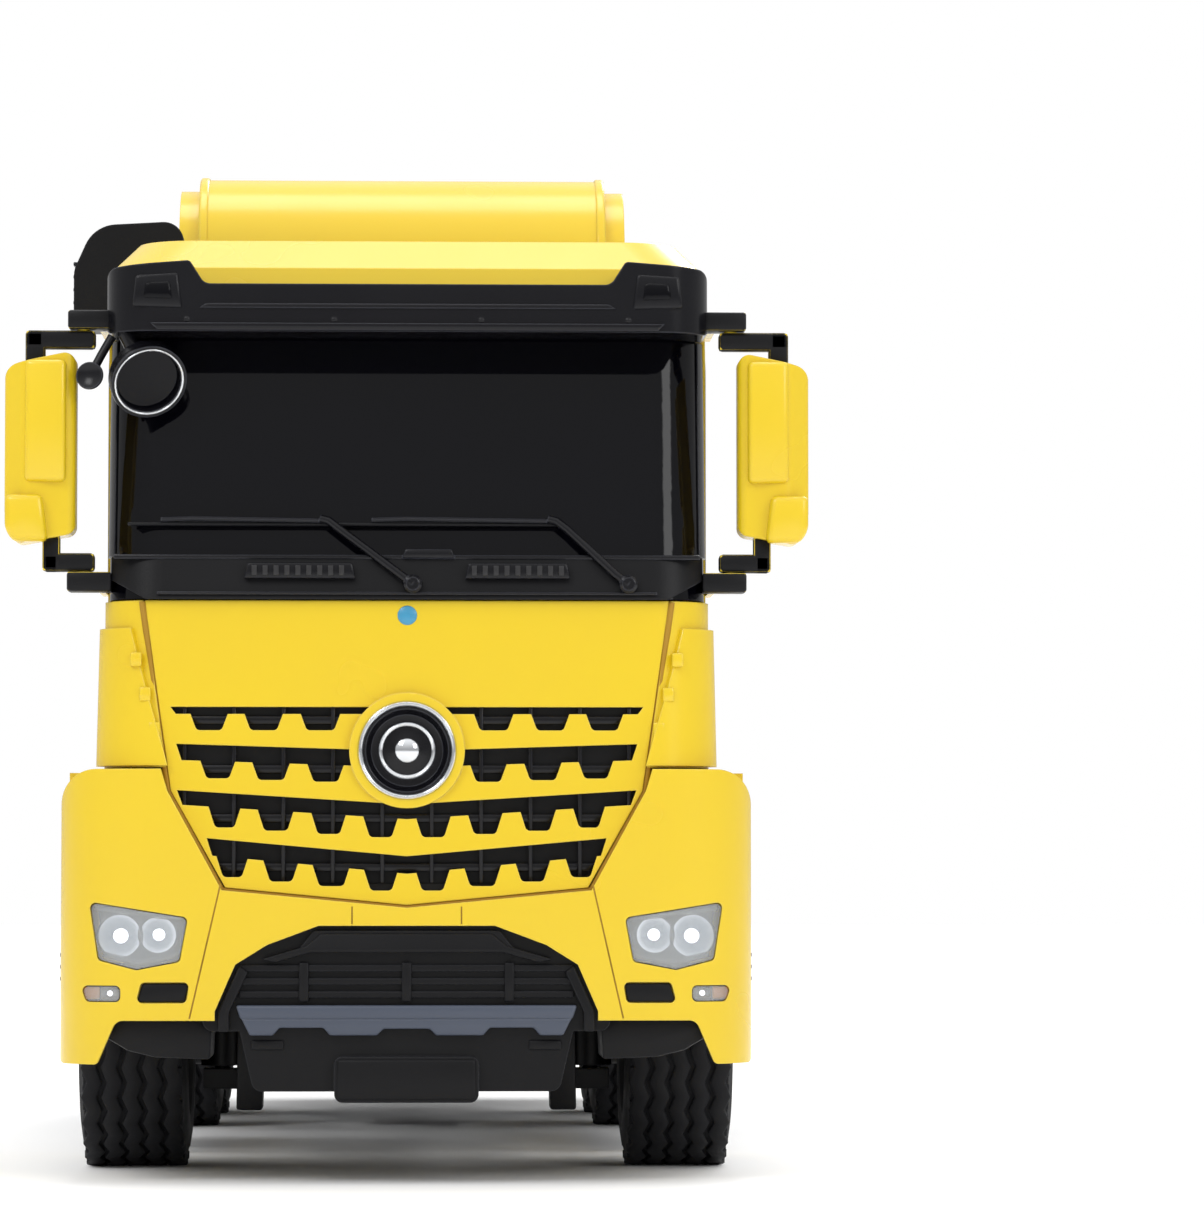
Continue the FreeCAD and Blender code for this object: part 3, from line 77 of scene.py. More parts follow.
def add(tree, kind, links=None, **settings):
    """Adds a node with its settings; each link is a value or another node's output."""
    node = tree.nodes.new(kind)
    for name, value in settings.items():
        setattr(node, name, value)
    for socket, source in (links or {}).items():
        if isinstance(source, bpy.types.NodeSocket):
            tree.links.new(source, node.inputs[socket])
        else:
            node.inputs[socket].default_value = source
    return node


def moulded(name, colour, shade, rough, grain, depth, edge=0.45, glint=None, mottle=28.0, **shader):
    """Injection-moulded plastic: slow colour drift, fine tool texture, rounded edges with a painted
    highlight that mixes them towards the glint colour.
    """
    material = bpy.data.materials.new(name)
    material.use_nodes = True
    tree = material.node_tree
    tree.nodes.clear()
    place = add(tree, "ShaderNodeTexCoord").outputs["Object"]
    drift = add(tree, "ShaderNodeTexNoise", {"Vector": place, "Scale": 1 / (mottle * MM), "Detail": 2.0})
    tool = add(tree, "ShaderNodeTexNoise", {"Vector": place, "Scale": 1 / (grain * MM), "Detail": 2.0})
    round_edge = add(tree, "ShaderNodeBevel", {"Radius": edge * MM}, samples=4)
    facing = add(tree, "ShaderNodeNewGeometry").outputs["Normal"]
    turn = add(tree, "ShaderNodeVectorMath", {0: round_edge.outputs[0], 1: facing}, operation="DOT_PRODUCT")
    # Painted highlight: where the rounded normal turns from the face, the colour is mixed towards the glint
    # colour.
    edge_glint_mask = add(tree, "ShaderNodeMapRange", {0: turn.outputs["Value"], 1: 0.75, 2: 0.99, 3: 0.55, 4: 0.0})
    base = add(tree, "ShaderNodeMix", {0: drift.outputs[0], 6: linear(colour), 7: linear(shade)},
               data_type="RGBA")
    edge_glinted = add(tree, "ShaderNodeMix", {0: edge_glint_mask.outputs[0], 6: base.outputs[2],
                                         7: linear(glint or colour)}, data_type="RGBA")
    gloss = add(tree, "ShaderNodeMapRange", {0: drift.outputs[0], 1: 0.3, 2: 0.7, 3: rough[0], 4: rough[1]})
    bump = add(tree, "ShaderNodeBump", {"Height": tool.outputs[0], "Distance": depth * MM, "Strength": 0.6,
                                        "Normal": round_edge.outputs[0]})
    links = {"Base Color": edge_glinted.outputs[2], "Roughness": gloss.outputs[0], "Normal": bump.outputs[0]}
    links.update(shader)
    bsdf = add(tree, "ShaderNodeBsdfPrincipled", links)
    add(tree, "ShaderNodeOutputMaterial", {"Surface": bsdf.outputs[0]})
    return material


# Gloss ABS, the truck's main plastic: clean polished tool, so broad soft highlights and a rich warm body.
yellow_abs = moulded("yellow_gloss_abs", "#dcbe1f", "#d7b71a", (0.2, 0.28), 1.4, 0.006, glint="#f6dc66",
                     IOR=1.54, **{"Subsurface Weight": 0.06, "Subsurface Radius": (0.9, 0.5, 0.08),
                                  "Subsurface Scale": 0.002})
# Satin black ABS from a spark-eroded tool: a fine even grain that breaks the highlights.
black_satin = moulded("black_satin_abs", "#09090b", "#0d0d10", (0.36, 0.46), 0.35, 0.03, glint="#3c3d42",
                      **{"Specular IOR Level": 0.2})
# Black ABS from a polished tool, as on the visor and cowl: sharper highlights.
black_polished = moulded("black_polished_abs", "#0b0b0f", "#0f0f13", (0.16, 0.24), 0.9, 0.008,
                         glint="#565862",
                         **{"Specular IOR Level": 0.26})
# Tinted polycarbonate glazing, mirror-smooth and almost opaque.
dark_glazing = moulded("tinted_polycarbonate", "#030306", "#05050a", (0.03, 0.06), 6.0, 0.002,
                       glint="#15151c",
                       **{"Specular IOR Level": 0.17})
# Clear polycarbonate lens: thin, so little more than its reflections show.
clear_lens = moulded("clear_polycarbonate", "#eef2f5", "#e6ebef", (0.03, 0.06), 2.5, 0.01, Alpha=0.2,
                     IOR=1.58)
# Red acrylic lens over a lit lamp.
red_lens = moulded("red_acrylic", "#7c0304", "#5e0202", (0.08, 0.14), 1.6, 0.06, glint="#a8100c", IOR=1.49,
                   **{"Emission Color": linear("#a80806"), "Emission Strength": 0.22})
amber_lens = moulded("amber_acrylic", "#f0a020", "#e08a10", (0.1, 0.16), 1.2, 0.05, glint="#ffc860",
                     IOR=1.49)
# Slate ABS of the chute, the ladder and the skid plate: satin, faintly blue.
slate_abs = moulded("slate_satin_abs", "#414857", "#3a4150", (0.34, 0.44), 0.5, 0.02, glint="#7c8496")
# Drum body colour where no pattern lies: a cool off-white ABS.
white_abs = moulded("white_gloss_abs", *WHITE_DRUM, (0.24, 0.34), 1.0, 0.008, glint="#f8f9fb")
# Soft PVC tyres: matt, slightly dusty black.
tyre_pvc = moulded("soft_pvc_tyre", "#0d0d10", "#16161a", (0.62, 0.78), 0.5, 0.05, edge=0.3, glint="#2e2f33",
                   mottle=9.0, **{"Specular IOR Level": 0.3})
# Zinc-grey plastic wheels.
rim_plastic = moulded("grey_wheel_abs", "#6b707c", "#626772", (0.3, 0.4), 0.6, 0.015, glint="#9aa0ac")
# Natural nylon gears.
nylon = moulded("natural_nylon", "#e6e0cf", "#d9d2bd", (0.4, 0.5), 0.6, 0.02, glint="#fbf8ee")
# Vacuum-metallised plastic: bright, with faint ripples.
chrome = moulded("metallised_plastic", "#d8dadd", "#cdd0d4", (0.06, 0.12), 3.0, 0.01, glint="#ffffff",
                 Metallic=1.0)
# The same film inside the headlights, as a shaded copy: its colour is painted darker so that the lit diodes
# stand out from it.
lamp_film = moulded("lamp_bowl_film", "#565b61", "#4a4f55", (0.16, 0.24), 2.0, 0.02, glint="#c9ced4",
                    Metallic=0.9)
# Plated steel for screws and motor cans.
steel = moulded("zinc_plated_steel", "#5b5a5e", "#4c4b50", (0.26, 0.38), 0.3, 0.02, glint="#8d8d92",
                mottle=3.0, Metallic=1.0)
dark_steel = moulded("blackened_steel", "#241f1a", "#302a22", (0.3, 0.42), 0.3, 0.03, glint="#6a6258",
                     mottle=2.0, Metallic=0.7)
# Mirror film behind clear plastic.
mirror_film = moulded("mirror_film", "#c9ced3", "#c1c7cd", (0.04, 0.07), 8.0, 0.004, Metallic=1.0)
cell_wrap = moulded("shrink_wrap", "#23508f", "#1d4680", (0.3, 0.4), 0.8, 0.02, glint="#5d86c0")
solder_mask = moulded("green_solder_mask", "#14502c", "#104526", (0.28, 0.36), 0.5, 0.02, glint="#3c7a52")
# Pad-printed marks; painted shadow standing in for the dark air of a seam; and a black print that also
# paints the shade in screw recesses and wheel hand holes.
blue_print = moulded("blue_print", "#3f8fb4", "#3786aa", (0.25, 0.32), 0.8, 0.01, glint="#8fc6dd")
painted_seam_shadow = moulded("seam_shadow", "#a67c0c", "#96700a", (0.6, 0.7), 0.6, 0.01, glint="#b48c1c")
print_and_shade_black = moulded("black_print_and_painted_shade", "#0e0d10", "#131215", (0.4, 0.5), 0.5, 0.01, glint="#26262a")
hazard_yellow = moulded("yellow_print", "#dfc428", "#d6ba20", (0.35, 0.42), 0.5, 0.01, glint="#f2dc58")
red_print = moulded("dull_red_print", "#5a0f12", "#4c0c0f", (0.4, 0.5), 0.5, 0.01, glint="#7e2024")
white_glow = moulded("white_led", "#ffffff", "#f6fbff", (0.2, 0.3), 0.8, 0.01,
                     **{"Emission Color": linear("#f4f9ff"), "Emission Strength": 2.2})
warm_glow = moulded("warm_led", "#fff2dc", "#ffe8c4", (0.2, 0.3), 0.8, 0.01,
                    **{"Emission Color": linear("#ffd9a0"), "Emission Strength": 3.0})


def drum_stripes():
    """ABS drum with its slate and grey bands printed as one screw thread round the body."""
    material = moulded("banded_drum_abs", *WHITE_DRUM, (0.26, 0.36), 1.0, 0.01, glint="#f8f9fb")
    tree = material.node_tree
    bsdf = next(node for node in tree.nodes if node.type == "BSDF_PRINCIPLED")
    body = bsdf.inputs["Base Color"].links[0].from_socket
    around = add(tree, "ShaderNodeUVMap", uv_map="wrap").outputs[0]
    split = add(tree, "ShaderNodeSeparateXYZ", {0: around})
    climb = add(tree, "ShaderNodeMath", {0: split.outputs[1], 1: 2.6}, operation="MULTIPLY")
    turn = add(tree, "ShaderNodeMath", {0: split.outputs[0], 1: 2.0}, operation="MULTIPLY")
    thread = add(tree, "ShaderNodeMath", {0: turn.outputs[0], 1: climb.outputs[0]}, operation="SUBTRACT")
    phase = add(tree, "ShaderNodeMath", {0: thread.outputs[0]}, operation="FRACT")
    bands = add(tree, "ShaderNodeValToRGB", {0: phase.outputs[0]})
    bands.color_ramp.interpolation = "CONSTANT"
    stops = [(0.0, 0.0), (0.06, 1.0), (0.46, 0.0), (0.5, 0.6), (0.68, 0.0)]
    ramp = bands.color_ramp.elements
    while len(ramp) < len(stops):
        ramp.new(1.0)
    for stop, (at, value) in zip(ramp, stops):
        stop.position = at
        stop.color = (value, value, value, 1.0)
    window = add(tree, "ShaderNodeMath", {0: split.outputs[1], 1: 0.52, 2: 0.34}, operation="COMPARE")
    amount = add(tree, "ShaderNodeMath", {0: bands.outputs[0], 1: window.outputs[0]}, operation="MULTIPLY")
    slate = add(tree, "ShaderNodeMix", {0: amount.outputs[0], 6: body, 7: linear("#747e8d")},
                data_type="RGBA")
    inset_across = add(tree, "ShaderNodeMath", {0: phase.outputs[0], 1: 0.27, 2: 0.08}, operation="COMPARE")
    inset_along = add(tree, "ShaderNodeMath", {0: split.outputs[1], 1: 0.55, 2: 0.1}, operation="COMPARE")
    inset = add(tree, "ShaderNodeMath", {0: inset_across.outputs[0], 1: inset_along.outputs[0]},
                operation="MULTIPLY")
    pale = add(tree, "ShaderNodeMix", {0: inset.outputs[0], 6: slate.outputs[2], 7: linear("#a9b2c0")},
               data_type="RGBA")
    tree.links.new(pale.outputs[2], bsdf.inputs["Base Color"])
    return material


drum_banded = drum_stripes()

SLOT_FINISH = {
    "yellow_body": yellow_abs, "black_plastic": black_satin, "black_gloss": black_polished,
    "dark_glazing": dark_glazing, "lamp_lens": clear_lens, "red_lens": red_lens, "grey_plastic": slate_abs,
    "drum_grey": white_abs, "tyre_rubber": tyre_pvc, "rim_plastic": rim_plastic, "nylon_gear": nylon,
    "steel_can": steel, "cell_wrap": cell_wrap, "board_green": solder_mask,
}
SHARED_SLOTS = {
    "black_plastic": (painted_seam_shadow, print_and_shade_black), "grey_plastic": (chrome, lamp_film, blue_print),
    "dark_glazing": (mirror_film,), "lamp_lens": (amber_lens, white_glow), "red_lens": (warm_glow,),
    "steel_can": (dark_steel,), "yellow_body": (hazard_yellow,),
}
SLOT_OF = {finish.name: slot for slot, finish in SLOT_FINISH.items()}
for shared, finishes in SHARED_SLOTS.items():
    SLOT_OF.update({finish.name: shared for finish in finishes})
for node in NODES.values():
    for holder in node.material_slots:
        holder.material = SLOT_FINISH[holder.material.name.split(".")[0]]


# ---- shapes, in millimetres ----
def point(along, a, b, t):
    return {"x": (t, a, b), "y": (a, t, b), "z": (a, b, t)}[along]


def prism(bm, outline, along, low, high, rounding=0.0, segments=2):
    """Outline pushed along an axis, every edge rounded."""
    ends = [[bm.verts.new(point(along, a, b, t)) for a, b in outline] for t in (low, high)]
    faces = [bm.faces.new(ends[0]), bm.faces.new(ends[1])]
    for i in range(len(outline)):
        j = (i + 1) % len(outline)
        faces.append(bm.faces.new((ends[0][i], ends[0][j], ends[1][j], ends[1][i])))
    bmesh.ops.recalc_face_normals(bm, faces=faces)
    if rounding:
        edges = list({edge for face in faces for edge in face.edges})
        bmesh.ops.bevel(bm, geom=edges, offset=rounding, segments=segments, profile=0.5,
                        affect="EDGES", clamp_overlap=True)


def block(bm, x0, x1, y0, y1, z0, z1, rounding=0.2):
    prism(bm, [(x0, z0), (x1, z0), (x1, z1), (x0, z1)], "y", y0, y1, rounding)


def lathe(bm, profile, centre, axis, count=48, closed=False):
    """Profile of (along, radius) turned about an axis through a centre."""
    axis = Vector(axis).normalized()
    side = axis.orthogonal().normalized()
    other = axis.cross(side)
    rings = []
    for along, radius in profile:
        middle = Vector(centre) + axis * along
        if radius < 1e-6:
            rings.append([bm.verts.new(middle)])
            continue
        ring = []
        for i in range(count):
            angle = 2 * math.pi * i / count
            ring.append(bm.verts.new(middle + (side * math.cos(angle) + other * math.sin(angle)) * radius))
        rings.append(ring)
    pairs = list(zip(rings, rings[1:])) + ([(rings[-1], rings[0])] if closed else [])
    for low, high in pairs:
        for i in range(count):
            j = (i + 1) % count
            corners = [low[i % len(low)], low[j % len(low)], high[j % len(high)], high[i % len(high)]]
            unique = list(dict.fromkeys(corners))
            if len(unique) > 2:
                bm.faces.new(unique)


def tube(bm, points, radius, count=12, closed=False):
    """Round bar along points, with flat ends."""
    points = [Vector(p) for p in points]
    rings = []
    side = None
    total = len(points)
    for i, here in enumerate(points):
        before = points[i - 1] if i or closed else here
        after = points[(i + 1) % total] if i < total - 1 or closed else here
        way = (after - before).normalized()
        side = way.orthogonal() if side is None else side - way * side.dot(way)
        side.normalize()
        other = way.cross(side)
        turns = [2 * math.pi * k / count for k in range(count)]
        rings.append([bm.verts.new(here + (side * math.cos(t) + other * math.sin(t)) * radius)
                      for t in turns])
    pairs = list(zip(rings, rings[1:])) + ([(rings[-1], rings[0])] if closed else [])
    for low, high in pairs:
        for i in range(count):
            j = (i + 1) % count
            bm.faces.new((low[i], low[j], high[j], high[i]))
    if not closed:
        bm.faces.new(rings[0])
        bm.faces.new(rings[-1])


def sheet(bm, rows, thickness):
    """Grid of points given a thickness along its own normals."""
    grid = [[bm.verts.new(p) for p in row] for row in rows]
    faces = []
    for low, high in zip(grid, grid[1:]):
        for i in range(len(low) - 1):
            faces.append(bm.faces.new((low[i], low[i + 1], high[i + 1], high[i])))
    bmesh.ops.recalc_face_normals(bm, faces=faces)
    bmesh.ops.solidify(bm, geom=faces, thickness=thickness)


def mesh_of(bm, name):
    """Metric mesh of a finished bmesh, faces outward, curved parts smooth."""
    bmesh.ops.remove_doubles(bm, verts=bm.verts, dist=1e-4)
    bmesh.ops.recalc_face_normals(bm, faces=bm.faces)
    bmesh.ops.scale(bm, vec=(MM, MM, MM), verts=bm.verts)
    mesh = bpy.data.meshes.new(name)
    bm.to_mesh(mesh)
    bm.free()
    mesh.shade_smooth()
    mesh.set_sharp_from_angle(angle=math.radians(SMOOTH_BELOW))
    return mesh


def settle(name, mesh, finish, body="chassis", stands_for=()):
    """Puts a finished mesh on its body as a piece of the truck."""
    mesh.materials.clear()
    mesh.materials.append(finish)
    piece = bpy.data.objects.new(name, mesh)
    bpy.context.scene.collection.objects.link(piece)
    if stands_for:
        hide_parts(*stands_for)
    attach(piece, body)
    return piece


def make(finish, body="chassis", stands_for=(), name=None):
    """Decorator: the function under it fills a bmesh, which becomes the piece of that name."""
    def run(fill):
        label = name or fill.__name__
        return settle(label, filled(fill, label), finish, body, stands_for)
    return run


def span(side, a, b):
    """Low and high x of a width on one side of the truck."""
    return sorted((side * a, side * b))


def on_side(side, outline):
    """Outline with its x turned to one side of the truck."""
    return [(side * x, z) for x, z in outline]


def filled(fill, name):
    """Mesh from a function that fills a bmesh."""
    bm = bmesh.new()
    fill(bm)
    return mesh_of(bm, name)


def both(outline):
    return [outline, [(-a, b) for a, b in reversed(outline)]]


# ---- trees for what repeats ----
def growth(name, sizes):
    """Empty geometry tree with its named sizes; returns the tree and its input node."""
    tree = bpy.data.node_groups.new(name, "GeometryNodeTree")
    tree.interface.new_socket("Geometry", in_out="OUTPUT", socket_type="NodeSocketGeometry")
    tree.interface.new_socket("Part", in_out="INPUT", socket_type="NodeSocketGeometry")
    for label, kind in sizes:
        tree.interface.new_socket(label, in_out="INPUT", socket_type="NodeSocket" + kind)
    return tree, add(tree, "NodeGroupInput")


def close_tree(tree, geometry, finish):
    real = add(tree, "GeometryNodeRealizeInstances", {0: geometry})
    painted = add(tree, "GeometryNodeSetMaterial", {"Geometry": real.outputs[0], "Material": finish})
    add(tree, "NodeGroupOutput", {0: painted.outputs[0]})


def row_tree():
    """Repeats a part in equal steps along a line, and that line in equal steps again."""
    tree, given = growth("row_of_parts", [("Count", "Int"), ("Step", "Vector"), ("Rows", "Int"),
                                          ("Row Step", "Vector"), ("Finish", "Material")])
    line = add(tree, "GeometryNodeMeshLine", {"Count": given.outputs["Count"],
                                              "Offset": given.outputs["Step"]})
    row = add(tree, "GeometryNodeInstanceOnPoints", {"Points": line.outputs[0],
                                                     "Instance": given.outputs["Part"]})
    rows = add(tree, "GeometryNodeMeshLine", {"Count": given.outputs["Rows"],
                                              "Offset": given.outputs["Row Step"]})
    field = add(tree, "GeometryNodeInstanceOnPoints", {"Points": rows.outputs[0],
                                                       "Instance": row.outputs[0]})
    close_tree(tree, field.outputs[0], given.outputs["Finish"])
    return tree


def ring_tree():
    """Repeats a part round a shaft that runs along x through a centre."""
    tree, given = growth("ring_of_parts", [("Count", "Int"), ("Centre", "Vector"), ("Finish", "Material")])
    index = add(tree, "GeometryNodeInputIndex")
    share = add(tree, "ShaderNodeMath", {0: index.outputs[0], 1: given.outputs["Count"]}, operation="DIVIDE")
    angle = add(tree, "ShaderNodeMath", {0: share.outputs[0], 1: 2 * math.pi}, operation="MULTIPLY")
    turn = add(tree, "ShaderNodeCombineXYZ", {0: angle.outputs[0]})
    hub = add(tree, "GeometryNodeMeshLine", {"Count": given.outputs["Count"], "Start Location":
                                             given.outputs["Centre"], "Offset": (0.0, 0.0, 0.0)})
    ring = add(tree, "GeometryNodeInstanceOnPoints", {"Points": hub.outputs[0],
                                                      "Instance": given.outputs["Part"],
                                                      "Rotation": turn.outputs[0]})
    close_tree(tree, ring.outputs[0], given.outputs["Finish"])
    return tree


ROW = row_tree()
RING = ring_tree()


def grown(tree, part, sizes, name):
    """Plain mesh that a tree makes from a part, lengths in metres."""
    carrier = bpy.data.objects.new(name, part)
    bpy.context.scene.collection.objects.link(carrier)
    modifier = carrier.modifiers.new("growth", "NODES")
    modifier.node_group = tree
    for item in tree.interface.items_tree:
        if item.in_out == "INPUT" and item.name in sizes:
            modifier[item.identifier] = sizes[item.name]
    ready = carrier.evaluated_get(bpy.context.evaluated_depsgraph_get())
    mesh = bpy.data.meshes.new_from_object(ready)
    carrier.modifiers.remove(modifier)
    bpy.data.objects.remove(carrier)
    mesh.name = name
    return mesh


def row_mesh(name, fill, finish, count, step, rows=1, row_step=(0, 0, 0)):
    sizes = {"Count": count, "Step": Vector(step) * MM, "Rows": rows, "Row Step": Vector(row_step) * MM,
             "Finish": finish}
    return grown(ROW, filled(fill, name + "_part"), sizes, name)


def repeated(name, fill, finish, count, step, rows=1, row_step=(0, 0, 0), body="chassis"):
    """A row, or rows, of one part as a single piece."""
    return settle(name, row_mesh(name, fill, finish, count, step, rows, row_step), finish, body)


def strip(x0, x1, y0, y1, z0, z1, rounding=0.15):
    """Fill function for one rounded block."""
    return lambda bm: block(bm, x0, x1, y0, y1, z0, z1, rounding)


def shifted(mesh, offset, mirror=False):
    """Copy of a mesh moved along, and turned over in x if asked."""
    bm = bmesh.new()
    bm.from_mesh(mesh)
    if mirror:
        bmesh.ops.scale(bm, vec=(-1, 1, 1), verts=bm.verts)
        bmesh.ops.reverse_faces(bm, faces=bm.faces)
    bmesh.ops.translate(bm, vec=Vector(offset) * MM, verts=bm.verts)
    copy = bpy.data.meshes.new(mesh.name)
    bm.to_mesh(copy)
    bm.free()
    copy.shade_smooth()
    copy.set_sharp_from_angle(angle=math.radians(SMOOTH_BELOW))
    return copy


# ---- wheels ----
RIB_COUNT = 5
RIB_PITCH = 3.9
RIB_WIDTH = 3.0
RIB_WAVES = 26
RIB_SWING = 0.55
GROOVE_DEPTH = 1.1


def tread_rib(bm):
    """One zigzag rib round the outermost-inside edge of the tread, about the x axis."""
    steps = RIB_WAVES * 4
    start = -(RIB_COUNT - 1) / 2 * RIB_PITCH
    section = [(-RIB_WIDTH / 2, TYRE_R - GROOVE_DEPTH - 0.6), (-RIB_WIDTH / 2 + 0.05, TYRE_R - 0.25),
               (-RIB_WIDTH / 2 + 0.4, TYRE_R), (RIB_WIDTH / 2 - 0.4, TYRE_R),
               (RIB_WIDTH / 2 - 0.05, TYRE_R - 0.25), (RIB_WIDTH / 2, TYRE_R - GROOVE_DEPTH - 0.6)]
    rings = []
    for i in range(steps):
        angle = 2 * math.pi * i / steps
        swing = RIB_SWING * (1, 0, -1, 0)[i % 4]
        ring = []
        for across, radius in section:
            ring.append(bm.verts.new((start + across + swing, radius * math.cos(angle),
                                      radius * math.sin(angle))))
        rings.append(ring)
    for i in range(steps):
        here, there = rings[i], rings[(i + 1) % steps]
        for k in range(len(section)):
            m = (k + 1) % len(section)
            bm.faces.new((here[k], here[m], there[m], there[k]))


def carcass(bm):
    """Tyre body with its bulged walls, shoulder steps and bead ring, about the x axis."""
    half = TYRE_HALF
    floor = TYRE_R - GROOVE_DEPTH
    wall = [(-half + 1.2, RIM_R - 0.4), (-half + 0.3, RIM_R + 0.8), (-half + 0.35, RIM_R + 1.8),
            (-half + 0.05, RIM_R + 2.4), (-half, RIM_R + 4.6), (-half + 0.3, RIM_R + 6.6),
            (-half + 0.7, RIM_R + 7.4), (-half + 0.62, RIM_R + 7.6), (-half + 1.1, RIM_R + 9.2),
            (-half + 2.0, floor)]
    lathe(bm, wall + [(-x, r) for x, r in reversed(wall)], (0, 0, 0), (1, 0, 0), 104, closed=True)


def shoulder_lug(bm):
    """Small raised lug on the tyre's outer shoulder."""
    block(bm, 7.9, 9.6, -1.0, 1.0, TYRE_R - 2.2, TYRE_R - 0.5, 0.3)


def wheel_tyre():
    """Tyre about the x axis at the origin: carcass, five zigzag ribs and two rows of shoulder lugs."""
    whole = bmesh.new()
    ribs = row_mesh("tread", tread_rib, tyre_pvc, RIB_COUNT, (RIB_PITCH, 0, 0))
    lugs = ringed("lugs", shoulder_lug, tyre_pvc, 44)
    for mesh in (filled(carcass, "carcass"), ribs, lugs, shifted(lugs, (0, 0, 0), mirror=True)):
        whole.from_mesh(mesh)
    mesh = bpy.data.meshes.new("tyre")
    whole.to_mesh(mesh)
    whole.free()
    return mesh


def rim_face(bm):
    """Dished truck wheel about the x axis, outer face at positive x."""
    face = [(-9.0, RIM_R - 1.6), (-9.0, RIM_R - 0.1), (9.2, RIM_R - 0.1), (9.6, RIM_R - 0.5),
            (9.4, RIM_R - 1.3),
            (8.2, RIM_R - 2.0), (6.2, RIM_R - 2.8), (5.0, 12.0), (4.8, 9.2), (6.0, 7.6), (8.0, 6.8),
            (8.2, 4.6), (7.6, 4.2), (7.6, 2.1), (4.0, 2.1), (3.6, 9.0), (4.0, RIM_R - 1.8)]
    lathe(bm, face, (0, 0, 0), (1, 0, 0), 64, closed=True)


def hand_hole(bm):
    """Dark oval pressed into the wheel's dish: painted shade standing in for a hand hole."""
    lathe(bm, [(4.9, 0.0), (4.9, 1.0), (4.9, 1.5), (4.3, 1.6), (4.3, 0.0)], (0, 0, 10.6), (1, 0, 0), 16)


def wheel_nut(bm):
    lathe(bm, [(6.9, 0.0), (6.9, 0.9), (8.3, 0.9), (8.6, 0.6), (8.6, 0.0)], (0, 0, 5.6), (1, 0, 0), 6)


def ringed(name, fill, finish, count):
    """Parts in a ring about the x axis at the origin."""
    sizes = {"Count": count, "Centre": Vector((0, 0, 0)), "Finish": finish}
    return grown(RING, filled(fill, name + "_part"), sizes, name)


TYRE = wheel_tyre()
RIM = filled(rim_face, "rim")
# Painted shade: dark discs in place of the wheels' hand holes.
HOLES = ringed("hand_holes", hand_hole, print_and_shade_black, 10)
NUTS = ringed("wheel_nuts", wheel_nut, steel, 10)
for axle_name, axle_y in AXLE_Y.items():
    for side, word in ((1, "left"), (-1, "right")):
        body = f"front_wheel_{word[0]}" if axle_name == "front" else f"{axle_name}_wheels"
        centre = (side * TYRE_MID_X, axle_y, HUB_Z)
        label = f"{axle_name}_{word}"
        settle(f"tyre_{label}", shifted(TYRE, centre, side < 0), tyre_pvc, body,
               [f"{axle_name}_tyre_{word}"])
        if axle_name == "front":
            settle(f"rim_{label}", shifted(RIM, centre, side < 0), rim_plastic, body,
                   [f"front_rim_{word}"])
        settle(f"hand_holes_{label}", shifted(HOLES, centre, side < 0), print_and_shade_black, body)
        settle(f"wheel_nuts_{label}", shifted(NUTS, centre, side < 0), steel, body)


# ---- mixing drum ----
DRUM_WAY = (DRUM_END - DRUM_START).normalized()
DRUM_LEN = (DRUM_END - DRUM_START).length
DRUM_OUTER = [(0.0, 0.0), (0.0, 24.0), (0.25, 29.0), (1.2, 31.6), (3.2, 34.4), (9.0, 42.2), (12.0, 44.6),
              (34.0, 55.6), (42.0, 59.0), (46.0, 60.2), (51.0, 60.8), (58.0, 60.95), (76.0, 60.95),
              (83.0, 60.8), (89.0, 60.1), (95.0, 58.9), (187.0, 30.6), (189.7, 29.6), (192.0, 29.1),
              (196.4, 29.0), (197.4, 29.0), (197.7, 28.6), (197.7, 27.4), (197.0, 26.9)]
DRUM_INNER = [(190.0, 26.9), (186.0, 28.4), (95.0, 56.6), (83.0, 58.6), (51.0, 58.6), (42.0, 56.8),
              (12.0, 42.2), (4.0, 33.0), (2.4, 24.0), (2.2, 0.0)]
# Distances along the drum where two mouldings meet in a raised ring.
DRUM_RINGS = (46.0, 88.0, 183.0)


def drum_radius(s):
    for (s0, r0), (s1, r1) in zip(DRUM_OUTER, DRUM_OUTER[1:]):
        if s0 <= s <= s1 and s1 > s0:
            return r0 + (r1 - r0) * (s - s0) / (s1 - s0)
    return DRUM_OUTER[-1][1]


def drum_piece():
    """Drum shell with a wrap map: u round the drum, v along it."""
    bm = bmesh.new()
    count = 128
    side = Vector((1, 0, 0))
    other = DRUM_WAY.cross(side)
    wrap = bm.loops.layers.uv.new("wrap")
    profile = DRUM_OUTER + DRUM_INNER
    rings = []
    for s, radius in profile:
        middle = DRUM_START + DRUM_WAY * s
        if radius == 0:
            rings.append([bm.verts.new(middle)] * (count + 1))
            continue
        ring = []
        for i in range(count):
            angle = 2 * math.pi * i / count
            ring.append(bm.verts.new(middle + (side * math.cos(angle) + other * math.sin(angle)) * radius))
        rings.append(ring + ring[:1])
    for k in range(len(rings) - 1):
        for i in range(count):
            corners = [(rings[k][i], i, k), (rings[k][i + 1], i + 1, k), (rings[k + 1][i + 1], i + 1, k + 1),
                       (rings[k + 1][i], i, k + 1)]
            seen = {}
            for vert, turn, row in corners:
                seen.setdefault(vert, (turn / count, profile[row][0] / DRUM_LEN))
            if len(seen) < 3:
                continue
            face = bm.faces.new(list(seen))
            for loop in face.loops:
                loop[wrap].uv = seen[loop.vert]
    bmesh.ops.recalc_face_normals(bm, faces=bm.faces)
    bmesh.ops.scale(bm, vec=(MM, MM, MM), verts=bm.verts)
    mesh = bpy.data.meshes.new("drum")
    bm.to_mesh(mesh)
    bm.free()
    mesh.shade_smooth()
    mesh.set_sharp_from_angle(angle=math.radians(34))
    return settle("drum", mesh, drum_banded, "drum", ["drum_shell"])


drum_piece()


